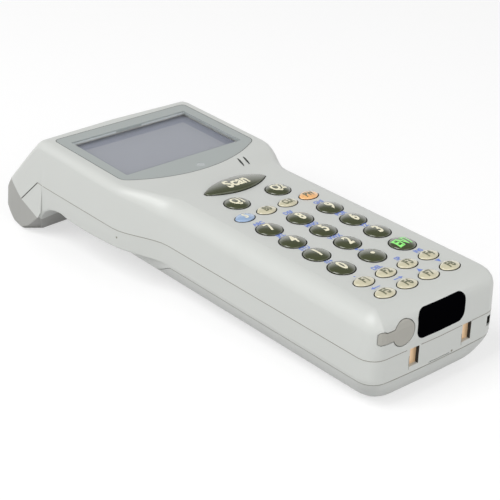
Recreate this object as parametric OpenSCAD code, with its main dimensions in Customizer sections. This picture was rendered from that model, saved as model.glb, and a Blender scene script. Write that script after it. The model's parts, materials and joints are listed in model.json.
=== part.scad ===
// Portable barcode data terminal: a wide display head with a scanner nose, a keypad grip and a
// boat-shaped battery lid.
// Body frame: X across, Y along towards the head, Z up from the keypad face, origin at the middle
// of the digit keys. at_rest() tips it so that the nose and the lid stand on the Z = 0 plane.

/* [Casing] */
// Width of the grip at the seam
grip_w = 56.8; // [54:0.2:62]
// Width of the display head at the seam
head_w = 70.9; // [68:0.1:78]
// Distance from the digit keys' middle to the middle of the tail face
tail_len = 64.2; // [63:0.1:72]
// Distance from the digit keys' middle to the front of the nose
nose_len = 132.6; // [131:0.1:137]
// Forward bow of the head's front between its sides
front_bow = 1.5; // [0.5:0.1:3]
// Rearward bow of the tail face between its sides
tail_bow = 0.8; // [0:0.1:1.2]
// Depth of the casing seam below the keypad face
seam_drop = 15.4; // [15:0.1:17]
// Depth of the battery lid's seam below the keypad face
lid_seam_drop = 23.9; // [23.5:0.1:26]
// Depth of the lid's flat bottom below the keypad face
lid_drop = 34; // [33.8:0.1:37]
// Depth of the nose's standing edge below the keypad face
nose_drop = 39.8; // [39:0.1:42]
// Casing wall thickness
wall = 2; // [1.6:0.1:2.4]
// Plan radius of the tail corners
tail_corner_r = 5.5; // [4:0.1:7]
// Radius of the roll from the keypad face to the tail face
tail_roll_r = 7; // [5:0.1:9]

/* [Keypad] */
// Pitch of the three digit columns
digit_pitch = 13.5; // [13:0.1:14.4]
// Pitch of the digit rows
digit_row_pitch = 11.31; // [11:0.01:11.6]
// Pitch of the four small-key columns
small_pitch = 9.53; // [9.2:0.01:9.8]
// Diameter of a digit key
digit_key_d = 8.8; // [8:0.1:9.4]
// Length of a small oval key
small_key_l = 7.5; // [7:0.1:8]
// Width of a small oval key
small_key_w = 5.3; // [4.8:0.1:5.8]
// Length of the scan key
scan_key_l = 26.6; // [24:0.1:28]
// Width of the scan key
scan_key_w = 10; // [9:0.1:10.6]
// Gap around every key
key_gap = 0.35; // [0.15:0.05:0.4]
// Height of a key's edge above the keypad face
key_edge_h = 0.3; // [0.1:0.05:0.6]
// Height of a digit key's crown above its edge
key_crown = 0.9; // [0.5:0.05:1.2]
// Key travel
key_travel = 0.8; // [0.5:0.05:0.8]

/* [Display] */
// Width of the screen bezel
bezel_w = 60; // [58:0.2:61]
// Radius of the bezel's bowed lower edge
bezel_bow_r = 52.7; // [48:0.1:60]
// Y of the bezel's upper edge
bezel_top_y = 101.5; // [100.5:0.1:102]
// Y of the lowest point of the bezel's bow
bezel_bow_y = 49.8; // [49:0.1:51]
// Width of the screen opening
window_w = 52; // [48:0.2:53]
// Y of the screen opening's lower edge
window_y0 = 61.5; // [61:0.1:63]
// Y of the screen opening's upper edge
window_y1 = 96; // [94:0.1:97]
// Thickness of the bezel
bezel_t = 1.2; // [1:0.1:1.4]
// Diameter of the indicator light
light_d = 3.4; // [2.6:0.1:3.8]

/* [Tail face] */
// Width of the infrared window
ir_w = 21.2; // [18:0.1:22]
// Height of the infrared window
ir_h = 10.2; // [8:0.1:10.4]
// X of the infrared window's middle
ir_x = 0.7; // [0:0.1:1.5]
// Z of the infrared window's middle
ir_z = -8.2; // [-8.6:0.1:-8]
// Radius of the jack plug's round head
plug_r = 4.3; // [3.8:0.1:4.5]
// X of the jack
jack_x = -15.6; // [-16:0.1:-15.2]
// Z of the jack
jack_z = -8.6; // [-9:0.1:-8.2]
// Width of a charging slot
contact_w = 3.9; // [3:0.1:4.4]
// Distance between the charging slots
contact_pitch = 23.5; // [22:0.1:24]
// Height of a charging slot
contact_h = 6.3; // [5:0.1:6.6]

/* [Battery] */
// Length of the battery pack
pack_l = 70; // [60:0.5:72]
// Width of the battery pack
pack_w = 33; // [28:0.5:35]
// Height of the battery pack
pack_h = 12; // [10:0.1:12.4]

/* [Scanner] */
// Width of the reading window
scan_win_w = 56; // [50:0.5:58]
// Height of the reading window
scan_win_h = 9; // [7:0.1:10]
// Width of the scan engine
engine_w = 32; // [26:0.5:36]
// Length of the light bar across the nose
light_bar_l = 45.6; // [42:0.2:46]

/* [Hidden] */
$fn = 48;

// Small clearances
fit = 0.1; // between pieces that are set into one another
flap_gap = 0.3; // around the jack plug's flap
lid_gap = 0.15; // between the lid and the casing
pin_gap = 0.05; // between the hinge pin and its bore

// Stations of the casing's form along Y
tail_y = tail_bow - tail_len; // at the sides, where the bow ends
nose_y = nose_len - front_bow;
neck_y0 = 35;
neck_y1 = 58;
arch_y = 91; // the finger arch behind the nose starts here
nose_rear_y = 114.3;
nose_front_y = 121.5;
top_edge_y = 102.5; // where the head's top starts to roll over
bow_y = 98; // the front's bow starts here
tail_lid_roll = 9.9; // radius of the lid's upward roll at the tail

// Levels of the casing's form
seam_z = -seam_drop;
lid_seam_z = -lid_seam_drop;
lid_z = -lid_drop;
wing_z = -22.9; // underside of the casing where the lid starts
head_z0 = 1; // head's top at the foot of the screen
head_slope = 0.019; // rise of the head's top per mm
crease_x = grip_w / 2 - 6.4; // edge of the flat keypad face
crease_angle = 14;
shoulder_end_angle = 85;
grip_shoulder = 6.6; // height of the grip's shoulder
head_shoulder = 3.3; // height of the head's shoulder
bow_r = 12.5; // radius of the lid's side roll
wing_edge_r = 1.3; // radius of the wings' lower edge
nose_corner_r = 4.5;
ARC_STEPS = 6;

// The two standing lines give the tilt at rest
lid_foot_y = tail_y + tail_lid_roll;
rest_tilt = atan((nose_drop - lid_drop) / (nose_rear_y - lid_foot_y));
rest_z = -(lid_foot_y * sin(rest_tilt) + lid_z * cos(rest_tilt));
front_y = nose_len * cos(rest_tilt) + 31 * sin(rest_tilt);
back_y = -tail_len * cos(rest_tilt) + tail_roll_r * sin(rest_tilt);
mid_y = (front_y + back_y) / 2;

// Interior
ceiling_z = -wall - 0.2; // underside of the keypad plate
hollow_x = grip_w / 2 - wall - 0.5;
head_hollow_x = head_w / 2 - wall - 0.4;
deck_top_z = seam_z - 1.3; // top of the deck over the battery bay
deck_t = 1.8;
bay_z = deck_top_z - deck_t;

// Key stack, from the keypad plate down
flange_gap = 0.12;
flange_t = 0.7;
flange_lap = 0.35; // the flange reaches this far under the plate
mat_top_z = ceiling_z - flange_gap - flange_t - key_travel - 0.13;
mat_t = 1.1;
sheet_t = 0.25;
board_t = 1.6;
key_board_z = mat_top_z - mat_t - sheet_t; // top of the key board
main_board_z = -12.2; // top of the main board
stack_x = small_pitch * 1.5 + small_key_l / 2 + 1.5;
stack_y0 = -58.2;
stack_y1 = 40.4;

// Lid hinge
hinge_r = 1.45;
hinge_y = 50.4;
hinge_z = lid_z + hinge_r + 0.15;
hinge_clear_r = hinge_r + 0.35;
knuckle_x = 14;
ear_w = 3.2;
hinge_pin_r = 0.8;
lid_head_y = neck_y0 - 0.3;

// Each key: name, x, y, shape and colour
digit_xs = [-digit_pitch, 0, digit_pitch];
small_xs = [for (i = [-1.5:1:1.5]) i * small_pitch];
edit_row_y = 11.42;
f_row_y = [-44.67, -53.75];
OLIVE = [0.27, 0.29, 0.18];
BEIGE = [0.8, 0.78, 0.68];
BLUE = [0.59, 0.71, 0.84];
ORANGE = [0.96, 0.75, 0.51];
CASE_GREY = [0.8, 0.81, 0.79];
LID_GREY = [0.72, 0.73, 0.72];
WARM_GREY = [0.65, 0.64, 0.61];
BOARD_GREEN = [0.1, 0.35, 0.2];
DIGITS = [
    ["7", "8", "9"],
    ["4", "5", "6"],
    ["1", "2", "3"],
    ["0", "point", "enter"],
];
EDIT_KEYS = [["shift", BLUE], ["backspace", BEIGE], ["clear", BEIGE], ["power", ORANGE]];
KEYS = concat(
    [["key_scan", 0, 33.5, "scan", OLIVE]],
    [["key_q1", -9.21, 21.6, "digit", OLIVE], ["key_q2", 9.21, 21.6, "digit", OLIVE]],
    [for (i = [0:3]) [str("key_", EDIT_KEYS[i][0]), small_xs[i], edit_row_y, "small", EDIT_KEYS[i][1]]],
    [for (r = [0:3], c = [0:2])
        [str("key_", DIGITS[r][c]), digit_xs[c], -r * digit_row_pitch, "digit", OLIVE]],
    [for (r = [0, 1], c = [0:3]) [str("key_f", 4 * r + c + 1), small_xs[c], f_row_y[r], "small", BEIGE]]
);

PLAIN_NODES = [
    "upper_case", "lower_case", "nose_hood", "battery_cover",
    "screen_bezel", "screen_window", "indicator_light", "lcd_panel", "lcd_frame", "lcd_ribbon",
    "keypad_mat", "contact_sheet", "key_board", "board_spacers", "main_board", "board_chips",
    "buzzer", "backup_cell", "ir_window", "ir_module", "jack_plug", "jack_socket",
    "charge_contacts", "scan_window", "scan_engine", "scan_light_bar", "scan_bracket",
    "scan_ribbon", "battery_pack", "battery_contacts", "case_seal", "case_screws", "hinge_pin",
];

// ---------- the casing's form ----------

function mix(a, b, t) = a + (b - a) * t;
function unit(t) = min(1, max(0, t));
function smooth(t) = unit(t) * unit(t) * (3 - 2 * unit(t));
// Inset of a quarter round of radius r at distance d from its end
function round_in(r, d) = d >= r ? 0 : r - sqrt(r * r - pow(r - max(d, 0), 2));
// Value at y on a line through listed [y, value] points
function along(points, y, i = 0) =
    i >= len(points) - 2 || y <= points[i + 1][0]
        ? mix(points[i][1], points[i + 1][1],
              unit((y - points[i][0]) / (points[i + 1][0] - points[i][0])))
        : along(points, y, i + 1);

// 0 on the grip, 1 on the head
function neck(y) = smooth((y - neck_y0) / (neck_y1 - neck_y0));

// Level of the nose's flat standing land, parallel to the table
function land_z(y) = -nose_drop - (y - nose_rear_y) * tan(rest_tilt);

HEAD_TOP = head_z0 + head_slope * (top_edge_y - 61);
// Side views, as [y, z] at the casing's sides
FRONT_TOP = [
    [top_edge_y, HEAD_TOP], [104.4, HEAD_TOP - 0.3], [105.6, HEAD_TOP - 0.9], [106.7, HEAD_TOP - 1.8],
    [125.8, -19.8], [128.4, -23.4], [129.9, -26.4], [nose_y - 0.3, -28.6], [nose_y, -30.2],
];
UNDERSIDE = [
    [neck_y0, wing_z], [56, wing_z], [66, wing_z - 0.7], [74, wing_z - 1.1], [84, wing_z - 1.1],
    [arch_y, wing_z - 0.1], [95, wing_z - 0.5], [98.8, -24.4], [102, -26.4], [104.5, -28.8],
    [106.7, -31.6], [110.5, -36.2], [nose_rear_y - 0.7, -39.3], [nose_rear_y, land_z(nose_rear_y)],
    [nose_front_y, land_z(nose_front_y)], [125.6, -39.2], [128, -37.4], [129.7, -35.2],
    [nose_y - 0.3, -32.8], [nose_y, -31.6],
];

// How far the underside's edge stands in from the side; the nose's rear corners are cut off
BASE_INSET = [[100, 0.1], [106.7, 0.9], [110.5, 3.4], [nose_rear_y, 6], [119, 0.9], [nose_len, 0.9]];

// Where the cut-off corner leaves the flat side of the head
function corner_cut_z(y) = -30.4 - 0.774 * (y - 106.6);

function tail_t(y) = round_in(tail_roll_r, y - tail_y) / tail_roll_r;
// The keypad face rises to the screen between the scan key and the bezel
function rise(y) = smooth((y - 39) / 9.5);
function top_z(y) =
    y < neck_y1 ? rise(y) * (head_z0 + head_slope * (y - 61)) - round_in(tail_roll_r, y - tail_y)
    : y < top_edge_y ? head_z0 + head_slope * (y - 61)
    : along(FRONT_TOP, y);
function full_side_x(y) = mix(grip_w, head_w, neck(y)) / 2;
function side_x(y) =
    full_side_x(y) - round_in(tail_corner_r, y - tail_y) - round_in(nose_corner_r, nose_y - y);
function bulge_fade(y) = y < 62 ? 1 : sqrt(max(0, 1 - pow((y - 62) / 13, 2)));
function under_z(y) = along(UNDERSIDE, y);
// Depth of the rounded belly below the lid's seam
lid_depth = lid_seam_z - lid_z;
function belly(y) =
    y > 75 ? 0
    : y > lid_foot_y ? lid_depth * bulge_fade(y)
    : lid_depth - tail_lid_roll + sqrt(pow(tail_lid_roll, 2) - pow(lid_foot_y - y, 2));

// Right half of the section at y, from the top's middle to the underside's middle
function half_section(y) =
    let (
        h = neck(y),
        zt = top_z(y),
        uz = under_z(y),
        thick = zt - min(uz, lid_seam_z - belly(y)),
        shoulder = y < neck_y1 ? mix(grip_shoulder, head_shoulder, h)
            : min(mix(head_shoulder, 2.4, unit((y - 104) / 8)), thick / 2.4),
        wall_z = y < neck_y0 ? -mix(grip_shoulder, tail_roll_r + 0.3, tail_t(y)) : zt - shoulder,
        side = side_x(y),
        wall_x = side - 0.5 * (1 - tail_t(y)),
        c = mix(mix(crease_x, head_w / 2 - mix(3.95, 2.8, unit((y - 104) / 8)), h), side - 0.3, tail_t(y))
            - (y > 105 ? full_side_x(y) - side : 0),
        a0 = mix(crease_angle, 2, h),
        mid_z = y <= 104 ? seam_z : y > 119 ? mix(wall_z, uz, 0.6) : max(uz + 1.5, corner_cut_z(y)),
        edge_r = min(mix(0.2, wing_edge_r, h), thick / 3),
        base_x = side - along(BASE_INSET, y),
        belly_x = min(side, full_side_x(0)) - 0.35,
        bow_x = belly_x - sqrt(bow_r * bow_r - pow(bow_r - lid_depth, 2)),
        bow_a0 = asin((bow_r - lid_depth) / bow_r),
        belly_z = y < 75 ? min(lid_seam_z + 0.3, uz - 0.1) : uz,
        deep = lid_seam_z - belly(y) < belly_z ? belly_z - lid_seam_z + belly(y) : 0
    )
    concat(
        [[0, zt]],
        [for (i = [0:ARC_STEPS])
            let (
                a = mix(a0, shoulder_end_angle, i / ARC_STEPS),
                fx = (sin(a) - sin(a0)) / (sin(shoulder_end_angle) - sin(a0)),
                fz = (cos(a0) - cos(a)) / (cos(a0) - cos(shoulder_end_angle))
            )
            [mix(c, wall_x, fx), mix(zt, wall_z, fz)]],
        [[side, mid_z]],
        [for (a = [0, 45, 90]) [base_x - edge_r * (1 - cos(a)), uz + edge_r * (1 - sin(a))]],
        [[mix(belly_x, base_x - edge_r, 0.4), uz - 0.12 * (uz - belly_z)]],
        [[mix(belly_x, base_x - edge_r, 0.12), uz - 0.45 * (uz - belly_z)]],
        [for (i = [0:ARC_STEPS + 2])
            let (
                a = mix(bow_a0, 90, i / (ARC_STEPS + 2)),
                u = (sin(a) - sin(bow_a0)) / (1 - sin(bow_a0))
            )
            [belly_x * (bow_x + bow_r * cos(a)) / (bow_x + bow_r * cos(bow_a0)), belly_z - deep * u]],
        [[0, belly_z - deep]]
    );

function full_section(y) =
    let (h = half_section(y), n = len(h))
    concat(h, [for (i = [n - 2:-1:1]) [-h[i][0], h[i][1]]]);

STATIONS = [
    for (d = [0, 0.3, 1, 2.1, 3.7, 5.5, 7, 8.4, 9.9]) tail_y + d,
    for (i = [0:7]) neck_y0 + (neck_y1 - neck_y0) * i / 7,
    62, 66, 69.5, 72, 74, 75, 84,
    arch_y, 95, 98.8, 102, top_edge_y, 104.4, 105.6, 106.7, 110.5, nose_rear_y - 0.7, nose_rear_y,
    119, nose_front_y, 125.7, 128.1, 129.7, nose_y - 0.3, nose_y
];

// Y of a point of the station at y: the front and the tail face are bowed
function bowed(x, y) =
    y + front_bow * smooth((y - bow_y) / 6.4) * (1 - pow(2 * x / head_w, 2))
    - tail_bow * unit((tail_y + tail_lid_roll - y) / tail_lid_roll) * (1 - pow(2 * x / grip_w, 2));

// The casing's outer form between two stations
module body_form(y0, y1) {
    ys = [for (y = STATIONS) if (y >= y0 && y <= y1) y];
    n = len(full_section(0));
    last = (len(ys) - 1) * n;
    side_i = ARC_STEPS + 2; // the widest point of a half section
    points = [for (y = ys) for (p = full_section(y)) [p[0], bowed(p[0], y), p[1]]];
    polyhedron(
        points,
        concat(
            // Each end is closed by a fan of triangles on either side
            [for (i = [0:n / 2 - 1]) if (i != side_i && i + 1 != side_i) each [
                [side_i, i, i + 1],
                [n - side_i, (n - i) % n, n - i - 1],
                [last + side_i, last + i + 1, last + i],
                [last + n - side_i, last + n - i - 1, last + (n - i) % n],
            ]],
            [[side_i, n / 2, 0], [n - side_i, 0, n / 2],
             [last + side_i, last, last + n / 2], [last + n - side_i, last + n / 2, last]],
            [for (s = [0:len(ys) - 2], i = [0:n - 1])
                let (j = (i + 1) % n, a = s * n + i, b = s * n + j, c = a + n, d = b + n)
                each [[a, c, b], [b, c, d]]]
        )
    );
}

// ---------- helpers ----------

// Everything stands on the table, with its box's middle over the origin
module at_rest() {
    translate([0, -mid_y, rest_z]) rotate([rest_tilt, 0, 0]) children();
}

// A side view polygon of [y, z] points, extruded across the body
module across(points, width) {
    rotate([90, 0, 90]) translate([0, 0, -width / 2]) linear_extrude(width) polygon(points);
}

// A [x, z] section extruded from y0 to y1
module lengthwise(y0, y1) {
    translate([0, y1, 0]) rotate([90, 0, 0]) linear_extrude(y1 - y0) children();
}

module box(x0, x1, y0, y1, z0, z1) {
    translate([x0, y0, z0]) cube([x1 - x0, y1 - y0, z1 - z0]);
}

module mirrored_x() {
    children();
    mirror([1, 0, 0]) children();
}

// An oval of four arcs, with end radius r
module oval(l, w, r) {
    a = l / 2 - r;
    big = (a * a + w * w / 4 - r * r) / (w - 2 * r);
    touch = a * big / (big - r);
    for (s = [-1, 1]) translate([s * a, 0]) circle(r);
    intersection() {
        translate([0, big - w / 2]) circle(big, $fn = 96);
        translate([0, w / 2 - big]) circle(big, $fn = 96);
        square([2 * touch, w + 1], center = true);
    }
}

module rounded_rect(w, h, r) {
    square([w - 2 * r, h], center = true);
    square([w, h - 2 * r], center = true);
    for (x = [-1, 1], y = [-1, 1]) translate([x * (w / 2 - r), y * (h / 2 - r)]) circle(r);
}

// A lens of two arcs whose tips are blunted by a round of diameter l
module lens(l, w) {
    point_x = l / 2 + 0.9;
    big = (point_x * point_x + w * w / 4) / w;
    intersection() {
        translate([0, big - w / 2]) circle(big, $fn = 180);
        translate([0, w / 2 - big]) circle(big, $fn = 180);
        circle(l / 2, $fn = 120);
    }
}

// Plan outline of a key, grown by g
module key_outline(shape, g = 0) {
    if (shape == "scan") lens(scan_key_l + 2 * g, scan_key_w + 2 * g);
    if (shape == "small") oval(small_key_l + 2 * g, small_key_w + 2 * g, 1.7 + g);
    if (shape == "digit") circle(digit_key_d / 2 + g);
}

// Where the boards' spacers stand
SPACERS = [for (x = [-14, 14], y = [-40, 20]) [x, y]];

// Where the casing screws stand: x, y and the level of the head's seat
TAIL_SCREW = [grip_w / 2 - 5.9, tail_y + 8.9, bay_z];
HEAD_SCREW = [head_w / 2 - 4.1, 84, wing_z];
SCREWS = [TAIL_SCREW, HEAD_SCREW];
screw_r = 1.1;
screw_head_r = 2;
screw_head_h = 1.4;
boss_r = 2.6;

// ---------- where one casing piece ends and the next begins ----------

notch_y = 105.8; // the seam turns down towards the nose here
nose_joint_y = 118.1;
nose_joint_z = -26.5;
far = 160;

NOSE_TOP_JOINT = [125.2, -20.5];
NOSE_REAR_JOINT = [106.6, -30.4];

// Side views of the four casing pieces
UPPER_SIDE = [
    [-far, seam_z], [notch_y, seam_z], [nose_joint_y, nose_joint_z], NOSE_TOP_JOINT,
    [far, NOSE_TOP_JOINT[1] + (far - NOSE_TOP_JOINT[0]) * 0.83], [far, 40], [-far, 40],
];
NOSE_SIDE = [
    [nose_joint_y, nose_joint_z], NOSE_TOP_JOINT,
    [far, NOSE_TOP_JOINT[1] + (far - NOSE_TOP_JOINT[0]) * 0.83], [far, -80],
    [NOSE_REAR_JOINT[0], -80], NOSE_REAR_JOINT,
];
LID_SIDE = [
    [-far, lid_seam_z], [lid_head_y, lid_seam_z], [hinge_y, hinge_z], [hinge_y, -60], [-far, -60],
];
LOWER_SIDE = [
    [-far, seam_z], [notch_y, seam_z], [nose_joint_y, nose_joint_z], NOSE_REAR_JOINT,
    [NOSE_REAR_JOINT[0], -60], [hinge_y, -60], [hinge_y, hinge_z], [lid_head_y, lid_seam_z],
    [-far, lid_seam_z],
];

// Half section of the grip's hollow
HOLLOW_HALF = [
    [0, ceiling_z], [crease_x - 0.4, ceiling_z], [hollow_x - 0.6, -6.4], [hollow_x, -10],
    [hollow_x, deck_top_z], [0, deck_top_z],
];

// Side view of the head's hollow
HEAD_HOLLOW_SIDE = [
    [neck_y1, deck_top_z - 4.2], [neck_y1, head_z0 - 3.4], [102, head_z0 - 2.6],
    [120.6, -19], [119.3, -22.3], [114, -24.9], [100, -21.4], [94, -20.9], [70, -20.9],
];

// Side view of the nose's hollow, open to the head
NOSE_HOLLOW_SIDE = [
    [106, -18], [121.4, -19.6], [126.4, -25.2], [nose_len - 2.3, -29.4], [nose_len - 2.3, -31.4],
    [126, -35.6], [121.5, -37.6], [115, -37.4], [108.8, -30.2], [106, -26],
];

module inside() {
    lengthwise(tail_y + wall, neck_y1) {
        polygon(HOLLOW_HALF);
        mirror([1, 0]) polygon(HOLLOW_HALF);
    }
    across(HEAD_HOLLOW_SIDE, 2 * head_hollow_x);
    across(NOSE_HOLLOW_SIDE, 2 * (head_hollow_x - 5));
    box(-21, 21, hinge_y + 5, 71, lid_z + 3.2, deck_top_z + 0.5);
}

// ---------- casing ----------

// A round post from z0 to z1 at every casing screw
module at_screws() {
    for (s = SCREWS) mirrored_x() translate([s[0], s[1], 0]) children();
}

module key_holes() {
    for (k = KEYS)
        translate([k[1], k[2], ceiling_z - 1]) linear_extrude(wall + 4) key_outline(k[3], key_gap);
}

bezel_foot_r = 4;
bezel_top_r = 2;
// Bezel outline: straight sides and top, bowed foot, rounded corners
module bezel_outline(g = 0) {
    bow_mid = bezel_bow_y + bezel_bow_r;
    foot_x = bezel_w / 2 - bezel_foot_r;
    foot_y = bow_mid - sqrt(pow(bezel_bow_r - bezel_foot_r, 2) - foot_x * foot_x);
    touch = foot_x * (bezel_bow_r + g) / (bezel_bow_r - bezel_foot_r);
    top_x = bezel_w / 2 - bezel_top_r;
    top_y = bezel_top_y - bezel_top_r;
    intersection() {
        translate([0, bow_mid]) circle(bezel_bow_r + g, $fn = 180);
        translate([-touch, bezel_bow_y - 1]) square([2 * touch, foot_y - bezel_bow_y + 2]);
    }
    for (s = [-1, 1]) {
        translate([s * foot_x, foot_y]) circle(bezel_foot_r + g);
        translate([s * top_x, top_y]) circle(bezel_top_r + g);
    }
    translate([-bezel_w / 2 - g, foot_y]) square([bezel_w + 2 * g, top_y - foot_y]);
    translate([-top_x, foot_y]) square([2 * top_x, bezel_top_y - foot_y + g]);
}

// Laid in the head's sloping top, with z = 0 at its surface
module on_head() {
    translate([0, 61, head_z0]) rotate([atan(head_slope), 0, 0]) translate([0, -61, 0]) children();
}

bezel_floor_z = -bezel_t - fit;
light_x = 0.4;
light_y = 53.3;
lcd_top_z = bezel_floor_z - 1.2;
lcd_w = window_w + 2;
lcd_y0 = window_y0 - 1.5;
lcd_y1 = window_y1 + 1.5;
lcd_t = 0.95;

module screen_recess() {
    on_head() {
        translate([0, 0, bezel_floor_z]) linear_extrude(4) bezel_outline(fit);
        box(-lcd_w / 2 - 0.6, lcd_w / 2 + 0.6, lcd_y0 - 0.6, lcd_y1 + 0.6, -6, 1);
        translate([light_x, light_y, -6]) cylinder(h = 8, d = light_d + 0.2);
    }
}

SLIT_L = 6;
SLIT_W = 0.54;
module buzzer_slits() {
    for (x = [13.5, 16.1])
        translate([x, 46.7, -6]) rotate([0, 0, -17])
            translate([-SLIT_W / 2, -SLIT_L / 2, 0]) cube([SLIT_W, SLIT_L, 9]);
}

// Tail-face outlines, drawn in X and Z
face_y = bowed(jack_x, tail_y);
module on_tail(depth) {
    translate([0, face_y + depth, 0]) rotate([90, 0, 0]) children();
}

module ir_outline(g = 0) {
    translate([ir_x, ir_z]) rounded_rect(ir_w + 2 * g, ir_h + 2 * g, 3 + g);
}

hinge_x = 2.2 - grip_w / 2; // the flap bends here
tail_r = 2.05; // half height of the flap's tail
neck_half = 1.75; // half height of its neck
module plug_outline(g = 0) {
    translate([jack_x, jack_z]) circle(plug_r + g);
    translate([hinge_x + tail_r, jack_z + 0.6]) circle(tail_r + g);
    translate([hinge_x + tail_r, jack_z + 0.3 - neck_half - g])
        square([jack_x - hinge_x - tail_r, 2 * (neck_half + g)]);
}

flap_t = 1.3;
jack_hole_r = 2.2;

module upper_case() {
    color(CASE_GREY) difference() {
        union() {
            difference() {
                intersection() {
                    body_form(tail_y, far);
                    across(UPPER_SIDE, 2 * far);
                }
                inside();
            }
            intersection() {
                at_screws() translate([0, 0, seam_z + fit]) cylinder(h = 14, r = boss_r);
                across([[tail_y + 1, seam_z], [tail_y + 1, -3], [neck_y1, -3], [neck_y1, -1.4],
                        [101, -0.6], [101, seam_z]], head_w - 2.4);
            }
            mirrored_x()
                box(stack_x - 0.5, stack_x + 0.3, stack_y0 + 10, stack_y1 - 4, mat_top_z, ceiling_z + 0.5);
        }
        key_holes();
        screen_recess();
        buzzer_slits();
        on_tail(3.2) linear_extrude(8) ir_outline();
        on_tail(flap_t + 0.2) linear_extrude(8) plug_outline(flap_gap);
        on_tail(6) translate([jack_x, jack_z, 0]) cylinder(h = 8, r = jack_hole_r + 0.5);
        at_screws() translate([0, 0, seam_z - 1]) cylinder(h = 9, r = screw_r);
    }
}

slot_z1 = seam_z;
slot_z0 = seam_z - contact_h;
contact_shift = 1.3;
CONTACT_XS = [contact_shift - contact_pitch / 2, contact_shift + contact_pitch / 2];
contact_depth = 0.6; // of the copper behind the tail's side line

strap_w = 2.7; // the strap slot round the tail's right corner
strap_h = 3.7;
strap_z = seam_z - 3.3;
strap_x = grip_w / 2 - 3.95;
strap_depth = 7.2;
// The slot turns the corner: in at the tail face and out at the side
module strap_slot() {
    x0 = strap_x - strap_w / 2;
    y1 = tail_y + strap_depth;
    translate([0, 0, strap_z - strap_h / 2]) linear_extrude(strap_h) polygon([
        [x0, tail_y - 3], [x0, y1], [grip_w / 2 + 3, y1], [grip_w / 2 + 3, y1 - strap_w],
        [x0 + strap_w, y1 - strap_w], [x0 + strap_w, tail_y - 3],
    ]);
}

bay_y0 = lid_foot_y + 2.9;
pack_y0 = bay_y0 + 1.2;
pack_z0 = lid_z + wall + 0.1;
bay_x = hollow_x - 0.6;
ear_x = knuckle_x + 0.3;
tongue_x0 = -4; // the lid's friction tongue
tongue_x1 = 5.8;

// A rod on the lid's hinge line, from -x to x
module on_hinge(x, r) {
    translate([-x, hinge_y, hinge_z]) rotate([0, 90, 0]) cylinder(h = 2 * x, r = r);
}

module lower_case() {
    color(CASE_GREY) difference() {
        union() {
            difference() {
                intersection() {
                    body_form(tail_y, far);
                    across(LOWER_SIDE, 2 * far);
                }
                inside();
                box(-bay_x, bay_x, bay_y0, pack_y0 + pack_l + 3, lid_seam_z - 2, bay_z);
                on_hinge(24, hinge_clear_r);
            }
            at_screws() translate([0, 0, wing_z + 0.2])
                cylinder(h = seam_z - wing_z - 0.2, r = boss_r + 0.6);
            mirrored_x() {
                translate([ear_x, hinge_y, hinge_z]) rotate([0, 90, 0]) cylinder(h = ear_w, r = hinge_r);
                box(ear_x, ear_x + ear_w, hinge_y, hinge_y + 2.4,
                    hinge_z - hinge_r + 0.1, hinge_z + hinge_r);
            }
            for (s = SPACERS)
                translate([s[0], s[1], deck_top_z - 0.2])
                    cylinder(h = main_board_z - board_t - deck_top_z + 0.2, r = 2);
        }
        on_hinge(ear_x + ear_w, hinge_pin_r);
        box(tongue_x0 - 0.5, tongue_x1 + 0.5, tail_y + wall, tail_y + wall + 2.4,
            lid_seam_z - 1, lid_seam_z + 3.4);
        for (x = CONTACT_XS)
            box(x - contact_w / 2, x + contact_w / 2, -far, tail_y + wall + 1.5, slot_z0, slot_z1 + 1);
        strap_slot();
        at_screws() translate([0, 0, -40]) cylinder(h = 60, r = screw_r + 0.2);
        for (s = SCREWS) mirrored_x()
            translate([s[0], s[1], s[2] - 10])
                cylinder(h = 10 + screw_head_h + 0.3, r = screw_head_r + 0.3);
        box(-3.8, 5.7, -far, tail_y - 0.1, lid_seam_z + 0.45, lid_seam_z + 0.75);
    }
}

module battery_cover() {
    inner_r = bow_r - wall;
    bow_x = grip_w / 2 - 0.35 - sqrt(bow_r * bow_r - pow(bow_r - (lid_seam_z - lid_z), 2));
    color(LID_GREY) difference() {
        union() {
            difference() {
                intersection() {
                    body_form(tail_y, 62);
                    translate([0, -lid_gap, -lid_gap]) across(LID_SIDE, 2 * far);
                }
                intersection() {
                    lengthwise(tail_y + 3, hinge_y - 7) {
                        translate([-bow_x, lid_z + wall]) square([2 * bow_x, lid_depth]);
                        mirrored_x() translate([bow_x, lid_z + bow_r]) circle(inner_r, $fn = 96);
                    }
                    across([
                        [tail_y + 3, lid_seam_z + 1], [tail_y + 4.4, -28], [tail_y + 7.4, -30.4],
                        [lid_foot_y, lid_z + wall], [hinge_y - 7.5, lid_z + wall],
                        [hinge_y - 18, lid_seam_z + 1],
                    ], grip_w);
                }
            }
            for (y = [pack_y0 - 1.3, pack_y0 + pack_l + 0.2])
                box(-12, 12, y, y + 1.1, lid_z + wall - 0.5, lid_seam_z - 1);
            mirrored_x() for (y = [-30, 0])
                box(pack_w / 2 + 0.15, pack_w / 2 + 1.25, y, y + 14, lid_z + wall - 0.3, lid_seam_z - 0.6);
            box(tongue_x0, tongue_x1, tail_y + wall + 0.35, tail_y + wall + 1.5,
                lid_seam_z - 3, lid_seam_z + 2.5);
            on_hinge(knuckle_x, hinge_r);
        }
        mirrored_x() translate([ear_x - 0.15, hinge_y, hinge_z]) rotate([0, 90, 0])
            cylinder(h = ear_w + 0.5, r = hinge_clear_r);
        on_hinge(ear_x + ear_w, hinge_pin_r + pin_gap);
    }
}

module hinge_pin() {
    color("silver") on_hinge(ear_x + ear_w - 0.1, hinge_pin_r);
}

// Frame of the reading window: its middle, facing forward and down
SCAN_MID = [126.9, -34.9];
SCAN_TILT = 42;
module on_scan_window() {
    translate([0, SCAN_MID[0], SCAN_MID[1]]) rotate([-SCAN_TILT, 0, 0]) rotate([-90, 0, 0]) children();
}

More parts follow.
